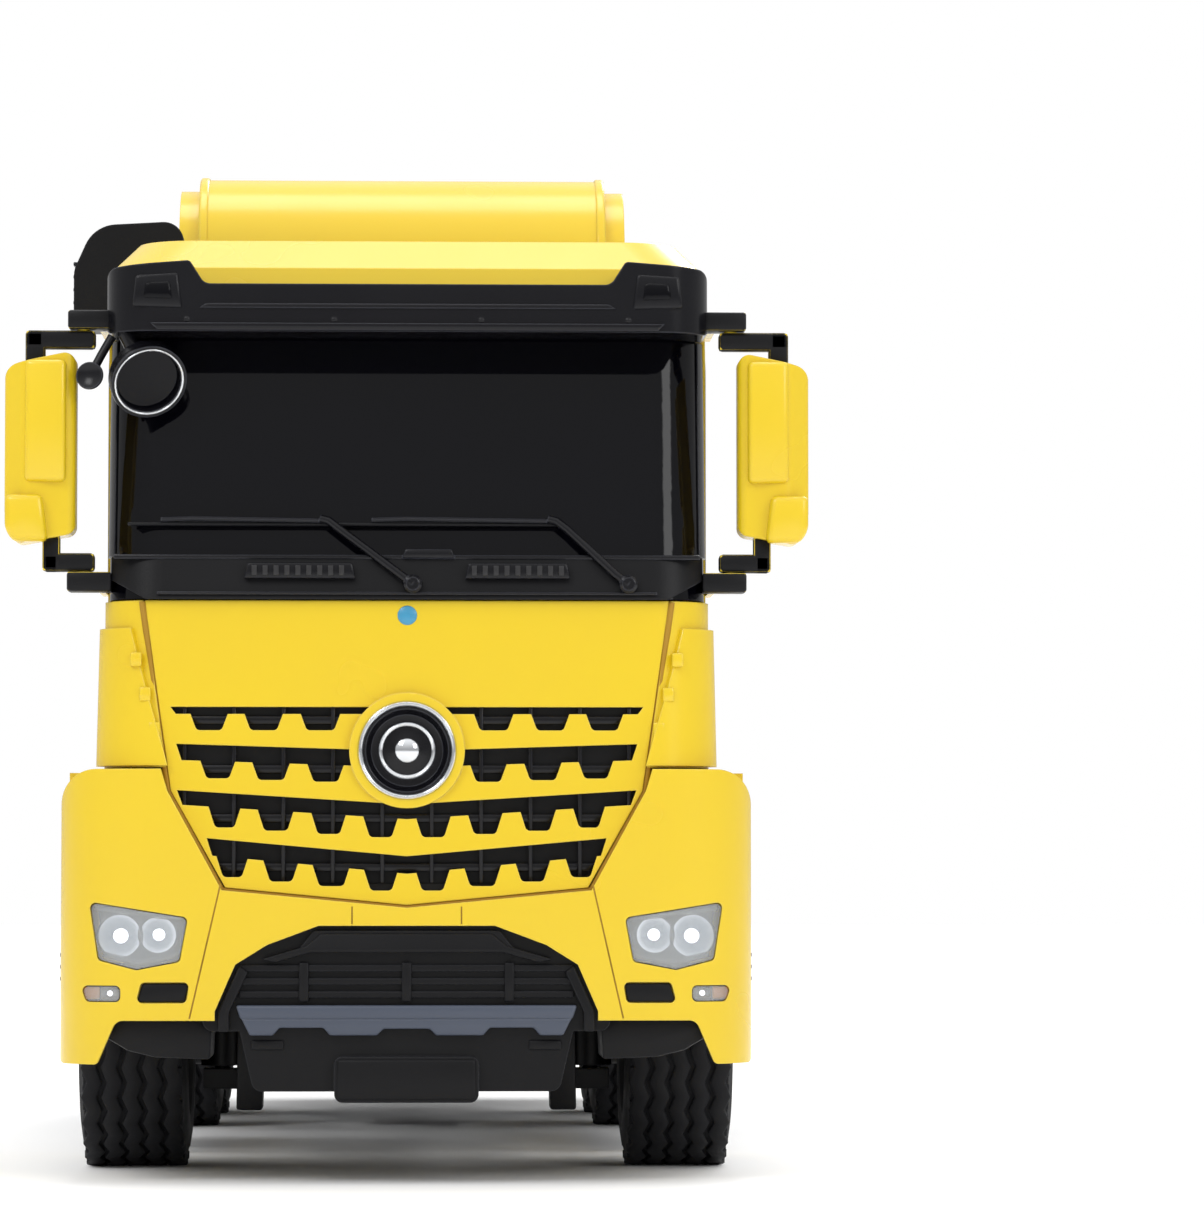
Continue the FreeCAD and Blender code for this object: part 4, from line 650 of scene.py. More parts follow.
@make(white_abs, body="drum")
def drum_rings(bm):
    for s in DRUM_RINGS:
        r = min(drum_radius(s), 60.6)
        lathe(bm, [(s - 1.3, drum_radius(s - 1.3) - 0.4), (s - 1.0, r + 0.25), (s, r + 0.4),
                   (s + 1.0, r + 0.25),
                   (s + 1.3, drum_radius(s + 1.3) - 0.4)], DRUM_START, DRUM_WAY, 128, closed=True)


@make(slate_abs, body="drum")
def mixing_blades(bm):
    """Two helical blades standing on the inside of the drum."""
    side = Vector((1, 0, 0))
    other = DRUM_WAY.cross(side)
    steps = 120
    for start in (0.0, math.pi):
        rows = []
        for i in range(steps + 1):
            s = 14.0 + (DRUM_LEN - 20.0) * i / steps
            angle = start + 3.2 * math.pi * i / steps
            radial = side * math.cos(angle) + other * math.sin(angle)
            outer = drum_radius(s) - 2.4
            middle = DRUM_START + DRUM_WAY * s
            rows.append([middle + radial * outer, middle + radial * (outer - 7.5)])
        sheet(bm, rows, 1.2)


# ---- front panel and badge ----
BADGE = (0.0, 79.4)


@make(black_polished, stands_for=["badge"])
def badge_dish(bm):
    lathe(bm, [(4.5, 0.0), (4.5, 8.8), (0.4, 8.8), (0.4, 7.6), (1.9, 6.6), (2.3, 2.6), (1.7, 1.6),
               (1.5, 0.0)],
          (0, FRONT + 1.2, BADGE[1]), (0, 1, 0), 64)


@make(chrome)
def badge_chrome(bm):
    centre = (0, FRONT + 1.2, BADGE[1])
    lathe(bm, [(1.4, 7.9), (0.2, 8.0), (-0.3, 8.4), (-0.3, 8.8), (0.1, 9.1), (1.4, 9.1)], centre, (0, 1, 0),
          72,
          closed=True)
    lathe(bm, [(3.0, 4.3), (1.2, 4.5), (0.9, 4.9), (1.2, 5.3), (3.0, 5.5)], centre, (0, 1, 0), 64,
          closed=True)
    lathe(bm, [(3.0, 0.0), (3.0, 2.4), (1.3, 2.2), (0.8, 1.4), (0.7, 0.0)], centre, (0, 1, 0), 40)


@make(blue_print)
def panel_dot(bm):
    lathe(bm, [(0.9, 0.0), (0.9, 1.8), (0.1, 1.8), (-0.05, 1.6), (-0.05, 0.0)], (0, -201.3, 104.3),
          (0, 1, -0.05),
          32)


repeated("grille_ribs", strip(-41.2, -40.4, -201.4, -198.6, 55.0, 88.6, 0.3), black_polished,
         10, (9.07, 0, 0))
repeated("grille_bars", strip(-43.0, 43.0, -200.6, -198.6, 57.2, 58.8, 0.4), black_polished,
         4, (0, 0, 9.0))


def joint_line(bm, x0, z0, x1, z1, y, width=0.3):
    """Thin dark bar lying in a joint of the front: painted shadow for the gap."""
    half = width / 2
    prism(bm, [(x0 - half, z0), (x0 + half, z0), (x1 + half, z1), (x1 - half, z1)], "y", y, y + 0.6)


# Painted shadow in the joints of the front.
@make(painted_seam_shadow)
def fascia_joints(bm):
    for side in SIDES:
        joint_line(bm, side * 34.0, 55.0, side * 39.6, 30.4, FRONT, 0.32)
        joint_line(bm, side * 10.0, 47.6, side * 10.0, 50.8, FRONT)


@make(painted_seam_shadow)
def panel_seam(bm):
    """Filler low in the joint round the grille panel, painted as the joint's shadow."""
    for side in SIDES:
        points = [(0, 50.6), (side * 33.7, 53.8), (side * 43.7, 72.0), (side * 48.7, 106.8)]
        tube(bm, [(x, -203.3 + 3.0 * (z - 49.0) / 58.0, z) for x, z in points], 0.62, 8)


@make(print_and_shade_black)
def panel_backing(bm):
    prism(bm, [(-36, 51.5), (36, 51.5), (47.5, 70), (48.5, 78), (-48.5, 78), (-47.5, 70)], "y", -198.2,
          -197.0)


@make(yellow_abs)
def tow_caps(bm):
    for side in SIDES:
        lathe(bm, [(1.0, 0.0), (1.0, 1.7), (0.05, 1.65), (0.0, 1.45), (0.12, 1.3), (0.12, 0.0)],
              (side * 31.6, FRONT, 45.1), (0, 1, 0), 32)


def corner_point(side, angle, z, proud):
    """Point on the cab's rounded front corner, angle from straight ahead."""
    lean = LEAN_BELOW_SILL * (z - CAB_FOOT_Z) / 58.0
    if z >= SILL_Z:
        lean = LEAN_BELOW_SILL + LEAN_ABOVE_SILL * (z - SILL_Z) / 50.0
    front = FRONT + 1.0 + lean
    radius = CORNER_R + proud
    return (side * (CORNER_X + radius * math.sin(angle)), front + CORNER_R - radius * math.cos(angle), z)


def corner_sheet(bm, side, low, high, first, last, proud, thickness, steps=10):
    rows = []
    for k in range(9):
        z = low + (high - low) * k / 8
        angles = [math.radians(first + (last - first) * i / steps) for i in range(steps + 1)]
        rows.append([corner_point(side, a, z, proud) for a in angles])
    sheet(bm, rows, thickness)


def contour_point(side, run, z, proud):
    """Point on the cab's front; run counts from where the corner's rounding begins."""
    if run < 0:
        lean_y = corner_point(1, 0.0, z, proud)[1]
        return (side * (CORNER_X + run), lean_y, z)
    return corner_point(side, run / CORNER_R, z, proud)


@make(yellow_abs)
def air_deflectors(bm):
    """Blade on each front corner, its inner edge slanting down to the panel."""
    for side in SIDES:
        rows = []
        for k in range(13):
            z = 76.6 + 25.4 * k / 12
            inner = -1.2 + 6.8 * k / 12
            proud = 1.5 - 0.5 * k / 12
            rows.append([contour_point(side, inner + (17.2 - inner) * i / 12, z, proud) for i in range(13)])
        sheet(bm, rows, 1.4)


@make(yellow_abs)
def deflector_pegs(bm):
    for side in SIDES:
        for k in range(3):
            z = 82.0 + 6.4 * k
            x = 44.6 + 1.72 * (k + 1)
            y = corner_point(1, 0.1, z, 0.0)[1]
            block(bm, *sorted((side * (x - 1.1), side * (x + 1.0))), y - 1.2, y + 0.6, z, z + 2.6, 0.35)


@make(black_polished)
def pillar_covers(bm):
    for side in SIDES:
        corner_sheet(bm, side, 115.4, 156.4, 62, 96, -0.45, 0.7)


# ---- visor, cowl and wipers ----
repeated("visor_rivets", lambda bm: lathe(bm, [(0.6, 0.0), (0.6, 0.75), (0.0, 0.7), (-0.25, 0.4),
                                               (-0.3, 0.0)],
                                          (-40.6, FRONT + 1.1, 158.6), (0, 1, 0), 16),
         black_polished, 4, (27.07, 0, 0))


@make(black_polished)
def visor_lip(bm):
    prism(bm, [(-46, 156.5), (46, 156.5), (47.5, 158.0), (-47.5, 158.0)], "y", FRONT + 0.3, FRONT + 2.0, 0.4)
    prism(bm, [(-38.5, 160.6), (38.5, 160.6), (37.0, 161.6), (-37.0, 161.6)], "y", FRONT + 0.5, FRONT + 2.0,
          0.35)
    for side in SIDES:
        outline = on_side(side, ((41.4, 160.6), (50.6, 160.9), (50.0, 166.7), (42.2, 167.2)))
        prism(bm, outline, "y", FRONT + 0.6, FRONT + 2.2, 0.5, 3)


@make(dark_glazing)
def marker_lamps(bm):
    for side in SIDES:
        prism(bm, on_side(side, ((43.2, 162.2), (48.6, 162.4), (48.2, 165.4), (43.6, 165.6))),
              "y", FRONT + 0.35, FRONT + 1.8, 0.5, 3)


@make(black_polished)
def cowl_trim(bm):
    for side, first, last in ((-1, 9.5, 30.0), (1, 10.6, 30.0)):
        x0, x1 = sorted((side * first, side * last))
        prism(bm, [(x0, 111.0), (x1, 111.0), (x1 - 0.6, 113.9), (x0 + 0.6, 113.9)], "y", -203.0, -200.6,
              0.35, 3)
    prism(bm, [(-1.0, 114.8), (8.8, 114.8), (8.2, 116.6), (-0.4, 116.6)], "y", -201.6, -198.8, 0.4)
    block(bm, -54.0, 54.0, -200.9, -198.2, 114.6, 115.5, 0.3)
    block(bm, -46.0, 46.0, -202.6, -200.4, 108.0, 108.6, 0.2)


repeated("cowl_grooves", strip(-28.6, -27.6, -203.25, -202.2, 111.5, 113.4, 0.1), print_and_shade_black,
         9, (2.0, 0, 0), 2, (40.4, 0, 0))


@make(black_polished, stands_for=["wipers"])
def wiper_arms(bm):
    for first, knee, pivot in ((-51.4, -14.5, 1.0), (-12.6, 27.5, 40.7)):
        tube(bm, [(first + 6.0, -199.2, 122.0), (first + 12.0, -199.5, 122.2), (knee, -199.5, 121.8)], 0.5,
             8)
        tube(bm, [(knee - 1.6, -199.6, 122.2), (knee, -199.8, 121.8), (knee + 2.0, -200.2, 120.2),
                  (pivot - 2.4, -202.6, 111.8), (pivot, -203.0, 110.0)], 0.8, 10)
        lathe(bm, [(-1.4, 0.0), (-1.4, 1.2), (-0.9, 1.7), (1.6, 1.9), (1.6, 0.0)], (pivot, -202.4, 110.0),
              (0, 1, 0),
              20)


@make(black_satin)
def wiper_rubbers(bm):
    for x0, x1 in ((-51.5, -14.0), (-12.8, 28.0)):
        block(bm, x0, x1, -199.3, -196.8, 120.9, 121.5, 0.2)


# ---- mirrors ----
def mirror_trim(side):
    word = "left" if side > 0 else "right"
    body = f"mirror_{word[0]}"

    @make(yellow_abs, body=body, name=f"mirror_shell_{word}")
    def shell(bm):
        low = on_side(side, ((66.2, 117.9), (72.6, 117.9), (74.1, 120.2), (74.1, 126.6), (67.2, 126.6)))
        prism(bm, low, "y", -200.2, -196.4, 1.1, 3)
        high = on_side(side, ((63.0, 129.0), (70.5, 129.0), (70.5, 151.6), (63.0, 151.6)))
        prism(bm, high, "y", -199.1, -196.4, 0.9, 3)

    @make(mirror_film, body=body, name=f"mirror_glass_{word}")
    def glass(bm):
        outline = on_side(side, ((63.0, 120.8), (72.8, 120.8), (72.8, 150.2), (63.0, 150.2)))
        prism(bm, outline, "y", -190.6, -190.1, 0.2)

    @make(black_satin, body=body, name=f"mirror_arm_{word}")
    def arm(bm):
        arms = ((57.8, 70.7, 153.9, 157.3), (57.8, 67.4, 112.6, 116.0), (67.1, 70.7, 151.0, 157.3),
                (64.2, 67.4, 112.6, 119.4))
        for x0, x1, z0, z1 in arms:
            block(bm, *sorted((side * x0, side * x1)), -195.8, -192.2, z0, z1, 0.7)


mirror_trim(1)
mirror_trim(-1)


@make(black_satin)
def mirror_brackets(bm):
    for side in SIDES:
        for z0, z1 in ((108.85, 112.45), (157.5, 160.95)):
            block(bm, *span(side, 54.6, 62.8), -197.2, -190.8, z0, z1, 0.5)


KERB = Vector((-48.0, -199.5, 148.0))
KERB_WAY = Vector((0.25, -0.8, -0.45)).normalized()


@make(dark_glazing)
def kerb_glass(bm):
    lathe(bm, [(-0.4, 0.0), (-0.4, 5.9), (0.45, 5.9), (0.75, 4.0), (0.9, 0.0)], KERB, KERB_WAY, 40)


@make(black_polished)
def kerb_rim(bm):
    lathe(bm, [(-2.6, 3.0), (-1.2, 6.3), (0.8, 7.2), (1.7, 7.1), (1.7, 6.3), (0.6, 5.9), (-0.9, 5.6),
               (-2.4, 0.0),
               (-2.6, 0.0)], KERB, KERB_WAY, 44)


@make(chrome)
def kerb_ring(bm):
    lathe(bm, [(1.2, 6.1), (1.75, 6.2), (1.85, 6.45), (1.6, 6.6), (1.2, 6.5)], KERB, KERB_WAY, 44,
          closed=True)


@make(black_polished)
def small_mirror(bm):
    way = Vector((-0.25, -0.9, 0.1))
    lathe(bm, [(-1.4, 0.0), (-1.2, 1.4), (0.4, 2.6), (1.0, 2.5), (0.7, 2.1), (0.5, 0.0)],
          (-58.4, -199.4, 148.4), way,
          28)
    tube(bm, [(-58.2, -198.6, 149.2), (-56.6, -197.8, 152.4), (-54.6, -197.4, 156.0)], 0.8, 10)


# ---- lamps ----
@make(black_polished)
def lamp_trays(bm):
    for side in SIDES:
        tray = on_side(side, ((40.6, 49.2), (42.0, 41.0), (49.4, 39.8), (55.8, 41.4), (57.0, 51.0)))
        prism(bm, tray, "y", -194.0, -190.0, 0.4)


@make(lamp_film)
def lamp_bowls(bm):
    for side in SIDES:
        for (x, z), size in zip(LAMPS, (3.9, 3.3)):
            bowl = [(0.0, size), (1.2, size * 0.9), (3.4, size * 0.66), (4.8, size * 0.3), (4.8, 0.0),
                    (5.4, 0.0), (5.4, size * 0.5), (3.6, size * 0.86), (0.0, size + 0.4)]
            lathe(bm, bowl, (side * x, -199.4, z), (0, 1, 0), 40)
        band = on_side(side, ((40.6, 49.4), (57.4, 51.2), (57.2, 50.0), (40.9, 48.2)))
        prism(bm, band, "y", -200.2, -194.0, 0.3)
        foot = on_side(side, ((41.8, 41.4), (49.4, 40.0), (55.8, 41.6), (55.6, 42.4), (49.4, 41.0),
                                           (41.9, 42.3)))
        prism(bm, foot, "y", -200.0, -194.0, 0.15)
        block(bm, *span(side, 52.6, 56.0), -198.4, -197.0, 33.8, 36.1, 0.3)


@make(white_glow)
def headlight_leds(bm):
    for side in SIDES:
        for (x, z), size in zip(LAMPS, (1.35, 1.1)):
            dome = [(0.0, 0.0), (0.25, size * 0.6), (0.9, size * 0.93), (1.6, size), (3.6, size), (3.6, 0.0)]
            lathe(bm, dome, (side * x, -198.2, z), (0, 1, 0), 28)
        lathe(bm, [(0.0, 0.0), (0.3, 0.5), (1.2, 0.6), (1.2, 0.0)], (side * 54.4, -198.9, 34.9), (0, 1, 0),
              16)


@make(amber_lens)
def fog_amber(bm):
    for side in SIDES:
        block(bm, *span(side, 56.3, 59.3), -198.2, -196.0, 33.8, 36.1, 0.3)


@make(black_satin)
def vent_inserts(bm):
    for side in SIDES:
        outline = on_side(side, ((40.4, 33.4), (49.2, 33.4), (48.2, 36.8), (39.8, 36.8)))
        prism(bm, outline, "y", FRONT + 0.4, FRONT + 1.4, 0.3)


# ---- lower grille and skid plate ----
repeated("lower_mesh", strip(-19.7, -17.9, -203.8, -201.8, 33.4, 40.6, 0.3), black_satin,
         3, (18.8, 0, 0))


@make(black_satin)
def grille_brow(bm):
    prism(bm, [(-15.6, 45.9), (15.6, 45.9), (18.4, 43.6), (26.6, 41.2), (24.0, 40.6), (17.6, 42.4),
               (-17.6, 42.4),
               (-24.0, 40.6), (-26.6, 41.2), (-18.4, 43.6)][::-1], "y", FRONT + 0.4, FRONT + 3.0, 0.35)
    for side in SIDES:
        edge = on_side(side, ((30.6, 40.0), (34.4, 31.6), (34.4, 28.0), (32.4, 28.0), (32.4, 31.4),
                                           (29.0, 38.8)))
        prism(bm, edge, "y", FRONT + 0.6, FRONT + 3.4, 0.3)
        block(bm, *span(side, 22.4, 28.4), FRONT + 2.4, FRONT + 3.6, 24.6, 26.4, 0.4)


@make(slate_abs, stands_for=["skid_plate"])
def skid_bar(bm):
    """Skid bar with three shallow notches along its lower edge."""
    lower = [(-28.6, 27.3), (-24.4, 27.3), (-23.2, 28.7), (-15.2, 28.7), (-14.0, 27.3), (-5.4, 27.3),
             (-4.2, 28.5),
             (4.2, 28.5), (5.4, 27.3), (14.0, 27.3), (15.2, 28.7), (23.2, 28.7), (24.4, 27.3), (28.6, 27.3)]
    prism(bm, lower + [(30.4, 30.8), (-30.4, 30.8)], "y", FRONT + 0.5, FRONT + 3.0, 0.35, 3)
    prism(bm, [(-30.3, 30.2), (30.3, 30.2), (31.2, 32.8), (-31.2, 32.8)], "y", FRONT, FRONT + 3.0, 0.5, 3)


@make(black_satin)
def arch_liners(bm):
    for side in SIDES:
        outline = [(35.5, 31.5), (36.0, 22.8), (46.0, 23.2), (51.0, 24.4), (55.0, 26.8), (58.6, 29.0),
                   (59.6, 31.5)]
        prism(bm, [(side * x, z) for x, z in outline], "y", -200.0, -179.0, 0.5)


@make(black_satin)
def spring_hangers(bm):
    for side in SIDES:
        outline = [(21.0, 41.0), (32.4, 33.0), (32.6, 11.6), (27.6, 11.6), (27.0, 31.0), (21.0, 36.0)]
        prism(bm, [(side * x, z) for x, z in outline], "y", -153.0, -144.5, 0.5)


@make(black_satin)
def plate_frame(bm):
    outer = [(-12.8, 15.4), (12.8, 15.4), (12.8, 23.0), (-12.8, 23.0)]
    prism(bm, outer, "y", FRONT + 0.9, FRONT + 2.4, 0.6, 3)


# ---- cab sides ----
def ring_outline(bm, outer, inner, along, low, high):
    """Frame between two outlines of as many corners."""
    layers = []
    for t in (low, high):
        layers.append([[bm.verts.new(point(along, a, b, t)) for a, b in loop] for loop in (outer, inner)])
    count = len(outer)
    for i in range(count):
        j = (i + 1) % count
        (o0, n0), (o1, n1) = layers
        for quad in ((o0[i], o0[j], n0[j], n0[i]), (o1[i], o1[j], n1[j], n1[i]),
                     (o0[i], o0[j], o1[j], o1[i]),
                     (n0[i], n0[j], n1[j], n1[i])):
            bm.faces.new(quad)


def rounded(y0, y1, z0, z1, radius, steps=5):
    """Corner points of a rounded rectangle."""
    corners = [(y1 - radius, z0 + radius, -90), (y1 - radius, z1 - radius, 0),
               (y0 + radius, z1 - radius, 90),
               (y0 + radius, z0 + radius, 180)]
    points = []
    for a, b, start in corners:
        for i in range(steps + 1):
            angle = math.radians(start + 90 * i / steps)
            points.append((a + radius * math.cos(angle), b + radius * math.sin(angle)))
    return points


@make(black_satin)
def window_seals(bm):
    for side in SIDES:
        x0, x1 = span(side, 55.4, 56.35)
        ring_outline(bm, rounded(-176.2, -124.8, 108.8, 155.2, 4.6),
                     rounded(-174.2, -126.8, 110.8, 153.2, 3.2),
                     "x", x0, x1)


# Painted shadow: thin dark rings lying in the door joints.
@make(painted_seam_shadow)
def door_joints(bm):
    for side in SIDES:
        x0, x1 = span(side, 55.6, 56.04)
        outer = rounded(-180.4, -119.6, 78.5, 158.6, 5.0)
        inner = rounded(-180.1, -119.9, 78.8, 158.3, 4.7)
        ring_outline(bm, outer, inner, "x", x0, x1)


@make(black_satin)
def door_handles(bm):
    for side in SIDES:
        x0, x1 = span(side, 55.8, 57.6)
        prism(bm, rounded(-135.0, -123.6, 98.6, 101.6, 1.2, 3), "x", x0, x1, 0.3)
        x2, x3 = span(side, 55.8, 56.3)
        prism(bm, rounded(-136.0, -122.6, 97.4, 103.2, 1.6, 3), "x", x2, x3, 0.15)


@make(black_satin)
def cab_steps(bm):
    for side in SIDES:
        x0, x1 = span(side, 63.6, 64.15)
        for z in (36.0, 50.0):
            prism(bm, rounded(-186.0, -170.0, z, z + 8.0, 1.6, 4), "x", x0, x1, 0.2)


repeated("step_treads", strip(-64.4, -63.9, -185.0, -171.0, 37.0, 37.7, 0.1), black_polished,
         2, (128.3, 0, 0), 3, (0, 0, 2.2))


# ---- behind the cab ----
repeated("intake_louvres", strip(-67.2, -66.2, -109.4, -93.4, 171.2, 172.0, 0.2), black_polished,
         4, (0, 0, 2.6))


@make(yellow_abs)
def tank_bands(bm):
    for x in (-42.2, 39.8):
        lathe(bm, [(x - 0.9, 19.4), (x - 0.9, 20.2), (x - 0.6, 20.45), (x + 0.6, 20.45), (x + 0.9, 20.2),
                   (x + 0.9, 19.4)], (0, TANK_Y, TANK_Z), (1, 0, 0), 96, closed=True)


@make(yellow_abs)
def tank_caps(bm):
    for side, x in ((1, 44.8), (-1, -47.2)):
        lathe(bm, [(-0.6, 17.0), (0.3, 16.4), (0.5, 14.0), (0.15, 12.8), (0.15, 0.0), (-1.2, 0.0)],
              (x - side * 0.5, TANK_Y, TANK_Z), (side, 0, 0), 72)
    lathe(bm, [(0.0, 0.0), (0.0, 4.3), (0.9, 4.5), (1.6, 4.2), (1.8, 3.0), (1.8, 0.0)], (18, -59, 200.6),
          (0, 0, 1), 36)


repeated("tank_straps", strip(35.6, 61.4, -70.0, -67.4, 17.8, 50.3, 0.5), steel, 3,
         (0, 33.0, 0))


@make(black_satin)
def tank_filler(bm):
    lathe(bm, [(0.0, 0.0), (0.0, 3.6), (1.2, 3.8), (1.8, 3.4), (1.8, 0.0)], (60.6, -22.0, 42.0), (1, 0, 0),
          28)


@make(black_satin)
def box_door(bm):
    prism(bm, rounded(-76.0, -14.0, 22.0, 46.0, 2.0, 4), "x", -61.9, -60.8, 0.4)
    for y in (-62.0, -28.0):
        block(bm, -62.6, -61.4, y - 2.4, y + 2.4, 40.0, 43.0, 0.4)


# ---- discharge end ----
def bowl_rim_points(y):
    """U of the filling bowl's edge."""
    points = [(28.8, y, 211.6), (28.8, y, 202.0)]
    for i in range(25):
        angle = math.pi * i / 24
        points.append((28.8 * math.cos(angle), y, 192.2 - 28.8 * math.sin(angle)))
    return points + [(-28.8, y, 202.0), (-28.8, y, 211.6)]


@make(yellow_abs)
def bowl_rim(bm):
    tube(bm, bowl_rim_points(PLATE_Y - 0.3), 1.15, 12)


@make(yellow_abs)
def hopper_ledge(bm):
    half = [(41.6, 178.0), (41.6, 186.0), (33.0, 209.4), (30.9, 209.4), (39.6, 185.0), (39.6, 178.0)]
    for outline in both(half):
        prism(bm, outline, "y", PLATE_Y - 0.6, PLATE_Y + 0.7, 0.35)
    prism(bm, [(-33.4, 213.2), (33.4, 213.2), (32.6, 215.2), (-32.6, 215.2)], "y", PLATE_Y - 0.6,
          PLATE_Y + 0.7,
          0.35)


def flap_point(x, z):
    """Point on the flap's outer face."""
    share = (z - 120.0) / 62.0
    half = 16.5 + 31.5 * share
    side = 183.0 - 4.0 * share
    return (x, 202.8 - (202.8 - side) * min(1.0, abs(x) / half), z)


@make(yellow_abs)
def flap_rim(bm):
    for side in SIDES:
        points = []
        for i in range(13):
            z = 155.0 + 24.0 * i / 12
            x, y, z = flap_point(38.0 * i / 12, z)
            points.append((side * x, y - 0.8, z))
        points.append((side * 40.4, 180.6, 181.2))
        points.append((side * 43.6, 180.0, 181.6))
        points.append((side * 46.4, 178.6, 181.0))
        tube(bm, points, 1.3, 12)


@make(yellow_abs)
def flap_hems(bm):
    for side in SIDES:
        tube(bm, [(side * (16.5 + 31.5 * i / 10), 183.0 - 0.4 * i, 120.6 + 6.0 * i) for i in range(11)],
             1.0, 10)
        tube(bm, [flap_point(0, 121.0), flap_point(side * 8.0, 121.0), flap_point(side * 16.0, 121.0)], 0.9,
             10)


@make(yellow_abs)
def pedestal_panels(bm):
    flanged = [(24.6, 66.0), (35.4, 66.0), (35.4, 120.4), (57.2, 120.4), (57.2, 134.0), (35.4, 134.0),
               (35.4, 150.0),
               (24.6, 150.0)]
    plain = [(24.6, 66.0), (35.4, 66.0), (35.4, 150.0), (24.6, 150.0)]
    prism(bm, flanged, "y", PLATE_Y - 0.6, PLATE_Y + 0.5, 0.3)
    prism(bm, [(-a, b) for a, b in reversed(plain)], "y", PLATE_Y - 0.6, PLATE_Y + 0.5, 0.3)


@make(yellow_abs)
def window_lip(bm):
    ring_outline(bm, rounded(-22.0, 22.0, 80.5, 112.1, 3.4), rounded(-20.8, 20.8, 81.7, 110.9, 2.4), "y",
                 PLATE_Y - 1.0, PLATE_Y + 0.5)


def screw(bm):
    """Pan-head screw sunk in its ring, looking to the rear."""
    lathe(bm, [(-0.4, 0.0), (-0.4, 2.3), (0.25, 2.3), (0.5, 1.7), (0.55, 0.0)], SCREW, (0, 1, 0), 24)


def screw_ring(bm):
    lathe(bm, [(-0.4, 2.4), (0.5, 2.5), (0.7, 2.8), (0.5, 3.2), (-0.4, 3.3)], SCREW, (0, 1, 0), 32,
          closed=True)


# Painted shade: a dark cross standing in for the recess in each screw head.
def screw_cross(bm):
    block(bm, -30.9, -27.9, PLATE_Y + 0.6, PLATE_Y + 0.9, 107.9, 108.5, 0.05)
    block(bm, -29.7, -29.1, PLATE_Y + 0.6, PLATE_Y + 0.9, 106.7, 109.7, 0.05)


repeated("pedestal_screws", screw, dark_steel, 2, (59.6, 0, 0))
repeated("screw_rings", screw_ring, yellow_abs, 2, (59.6, 0, 0))
repeated("screw_crosses", screw_cross, print_and_shade_black, 2, (59.6, 0, 0))


@make(slate_abs, body="discharge_chute")
def chute_edges(bm):
    for side in SIDES:
        y = 189.0 + side * 9.7
        tube(bm, [(-6.0, y, 117.6), (4.0, y, 117.6), (57.4, y, 84.6)], 0.8, 10)


repeated("ladder_lips", strip(47.2, 70.3, 169.6, 170.7, 156.0, 157.0, 0.25), slate_abs,
         6, (0, 0, 9.48))


@make(yellow_abs)
def ladder_pins(bm):
    """Two pegs that hold the ladder to the hopper's side."""
    for z in (183.0, 187.6):
        lathe(bm, [(0.0, 0.0), (0.0, 1.7), (0.3, 2.05), (10.6, 2.05), (10.6, 0.0)], (53.0, 164.0, z),
              (-1, 0, 0), 24)


# ---- rear panel ----
@make(hazard_yellow)
def hazard_plate(bm):
    block(bm, -49.2, 49.2, 203.6, 204.3, 53.0, 60.4, 0.2)


def hazard_bar(bm):
    prism(bm, [(-41.0, 54.1), (-31.6, 54.1), (-35.2, 59.3), (-44.6, 59.3)], "y", 204.0, 204.45)


repeated("hazard_bars", hazard_bar, print_and_shade_black, 5, (18.9, 0, 0))


@make(black_satin)
def hazard_frame(bm):
    ring_outline(bm, rounded(-50.2, 50.2, 52.1, 61.3, 0.8, 2), rounded(-49.2, 49.2, 53.0, 60.4, 0.5, 2),
                 "y", 203.6,
                 204.6)


@make(black_satin)
def rear_panel_trim(bm):
    prism(bm, rounded(-17.8, 17.8, 32.6, 51.4, 1.2, 4), "y", 203.0, 204.3, 0.4)
    prism(bm, rounded(-18.2, 18.2, 29.6, 32.4, 1.2, 4), "y", 203.0, 204.9, 0.6, 3)
    crease = [(-12.0, 46.6), (-6.0, 46.0), (6.0, 46.0), (12.0, 46.6), (6.0, 47.0), (-6.0, 47.0)]
    prism(bm, crease, "y", 203.4, 204.8, 0.2)
    for side in SIDES:
        x0, x1 = span(side, 21.0, 31.6)
        prism(bm, rounded(x0, x1, 30.6, 41.4, 1.0, 3), "y", 203.6, 204.4, 0.3)
        x0, x1 = span(side, 32.0, 44.8)
        prism(bm, rounded(x0, x1, 36.0, 44.8, 1.4, 4), "y", 203.2, 204.9, 0.6, 3)
    block(bm, -12.3, 12.3, 203.4, 204.8, 11.2, 15.8, 0.6)
    block(bm, -61.0, 61.0, 203.6, 204.6, 25.6, 26.8, 0.3)


@make(black_satin)
def lamp_frames(bm):
    for side in SIDES:
        x0, x1 = span(side, 44.6, 62.3)
        i0, i1 = span(side, 45.4, 61.6)
        ring_outline(bm, rounded(x0, x1, 35.6, 45.0, 1.0, 3), rounded(i0, i1, 36.4, 44.2, 0.6, 3), "y",
                     203.0, 204.9)


@make(red_lens, stands_for=["tail_lamps"])
def tail_lenses(bm):
    for side in SIDES:
        x0, x1 = span(side, 45.4, 61.8)
        prism(bm, rounded(x0, x1, 36.5, 44.1, 0.8, 3), "y", 202.8, 204.6, 0.4, 3)


@make(warm_glow)
def tail_leds(bm):
    for side in SIDES:
        lathe(bm, [(-0.1, 0.0), (-0.15, 1.2), (-0.35, 1.7), (-0.8, 1.8), (-0.8, 0.0)],
              (side * TAIL_LED[0], REAR, TAIL_LED[1]),
              (0, 1, 0), 28)


repeated("lamp_prisms", strip(-61.2, -60.9, 204.2, 204.75, 36.9, 43.7, 0.05), red_lens, 9,
         (1.85, 0, 0), 2, (107.1, 0, 0))
repeated("rear_reflectors", strip(-56.4, -41.2, 203.8, 204.6, 18.3, 20.7, 0.4), red_print, 2,
         (97.6, 0, 0))
repeated("sound_dots", strip(-5.2, -4.0, 203.7, 204.2, 17.6, 18.8, 0.3), red_print, 5,
         (2.55, 0, 0), 4, (0, 0, 2.3))


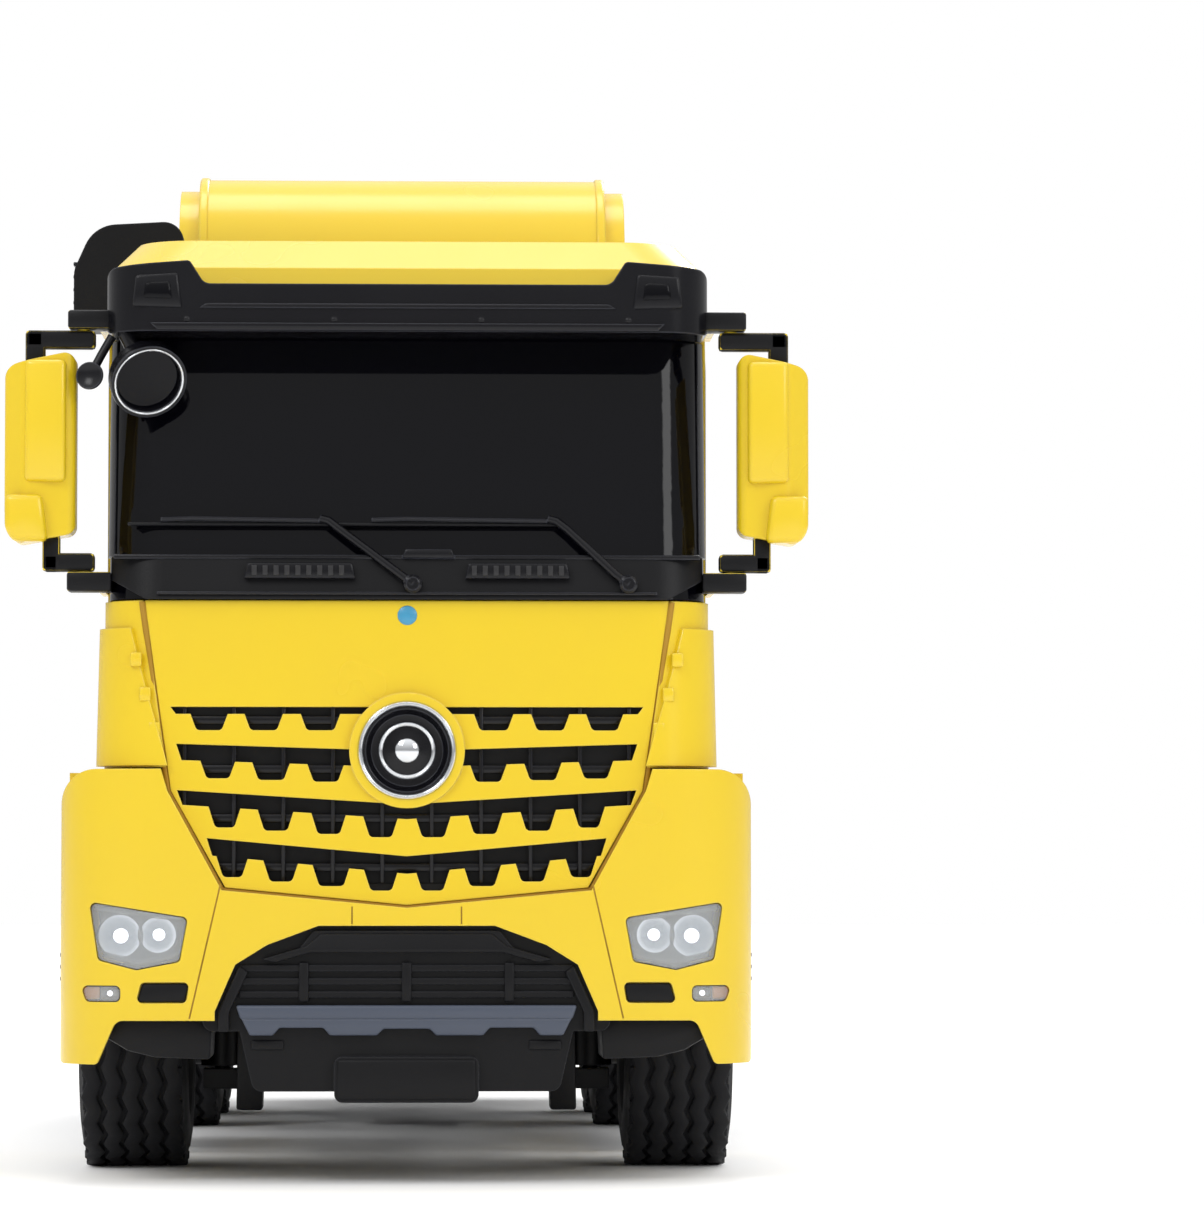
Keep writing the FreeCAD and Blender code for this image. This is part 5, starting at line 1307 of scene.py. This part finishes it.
def mudguard_rib(side):
    """One rib over the guard, from its front edge to its rear edge."""
    run = [(14.4, 42.0), (19.6, 55.2), (23.0, 58.6), (30.0, 61.0), (82.0, 61.0), (135.0, 61.0),
           (142.0, 58.6),
           (145.4, 55.2), (150.6, 42.0)]
    return lambda bm: tube(bm, [(side * 42.0, y, z) for y, z in run], 0.75, 8)


for side, word in ((1, "left"), (-1, "right")):
    repeated(f"mudguard_ribs_{word}", mudguard_rib(side), black_satin, 6,
             (side * 4.1, 0, 0))


# ---- floor, light and camera ----
def studio_light(tree):
    """White cyclorama as the background; its light is strongest overhead and weak at floor level."""
    tree.nodes.clear()
    way = add(tree, "ShaderNodeTexCoord").outputs["Generated"]
    height = add(tree, "ShaderNodeSeparateXYZ", {0: way}).outputs[2]
    rise = add(tree, "ShaderNodeMapRange", {0: height, 1: 0.0, 2: 0.9, 3: 0.5, 4: 1.35},
               interpolation_type="SMOOTHSTEP")
    seen = add(tree, "ShaderNodeLightPath").outputs["Is Camera Ray"]
    strength = add(tree, "ShaderNodeMix", {0: seen, 2: rise.outputs[0], 3: 1.0})
    glow = add(tree, "ShaderNodeBackground", {"Color": linear("#ffffff"), "Strength": strength.outputs[0]})
    add(tree, "ShaderNodeOutputWorld", {"Surface": glow.outputs[0]})


def studio():
    floor_mesh = bpy.data.meshes.new("floor")
    floor_mesh.from_pydata([(-6, -6, 0), (6, -6, 0), (6, 6, 0), (-6, 6, 0)], [], [(0, 1, 2, 3)])
    floor = bpy.data.objects.new("floor", floor_mesh)
    bpy.context.scene.collection.objects.link(floor)
    floor_mesh.materials.append(moulded("pale_paper", "#fdfdfd", "#fbfbfb", (0.85, 0.9), 40.0, 0.01,
                                        edge=0.01,
                                        mottle=900.0, **{"Specular IOR Level": 0.1}))
    world = bpy.data.worlds.new("studio")
    world.use_nodes = True
    studio_light(world.node_tree)
    bpy.context.scene.world = world
    lamps = [("key", (-0.7, -1.1, 1.0), 0.5, 4.6), ("fill", (0.75, -1.0, 0.55), 0.35, 2.2),
             ("back", (0.45, 1.0, 0.9), 0.5, 5.0), ("top", (0.0, 0.0, 1.2), 0.5, 3.0)]
    for name, place, size, power in lamps:
        light = bpy.data.lights.new(name, "AREA")
        light.size = size
        light.energy = power
        lamp = bpy.data.objects.new(name, light)
        lamp.location = place
        lamp.rotation_euler = (Vector((0, 0, 0.09)) - Vector(place)).to_track_quat("-Z", "Y").to_euler()
        bpy.context.scene.collection.objects.link(lamp)


def camera():
    """A hundred centimetres ahead of the bumper and low, the truck left of the middle."""
    lens = bpy.data.cameras.new("camera")
    lens.sensor_width = 36.0
    lens.lens = 161.9
    lens.clip_end = 50.0
    eye = bpy.data.objects.new("camera", lens)
    eye.location = (0.0, -1.205, 0.055)
    eye.rotation_euler = Vector((0.0357, 1.0, 0.0507)).to_track_quat("-Z", "Y").to_euler()
    bpy.context.scene.collection.objects.link(eye)
    bpy.context.scene.camera = eye


studio()
camera()
bpy.context.scene.view_settings.view_transform = "Standard"
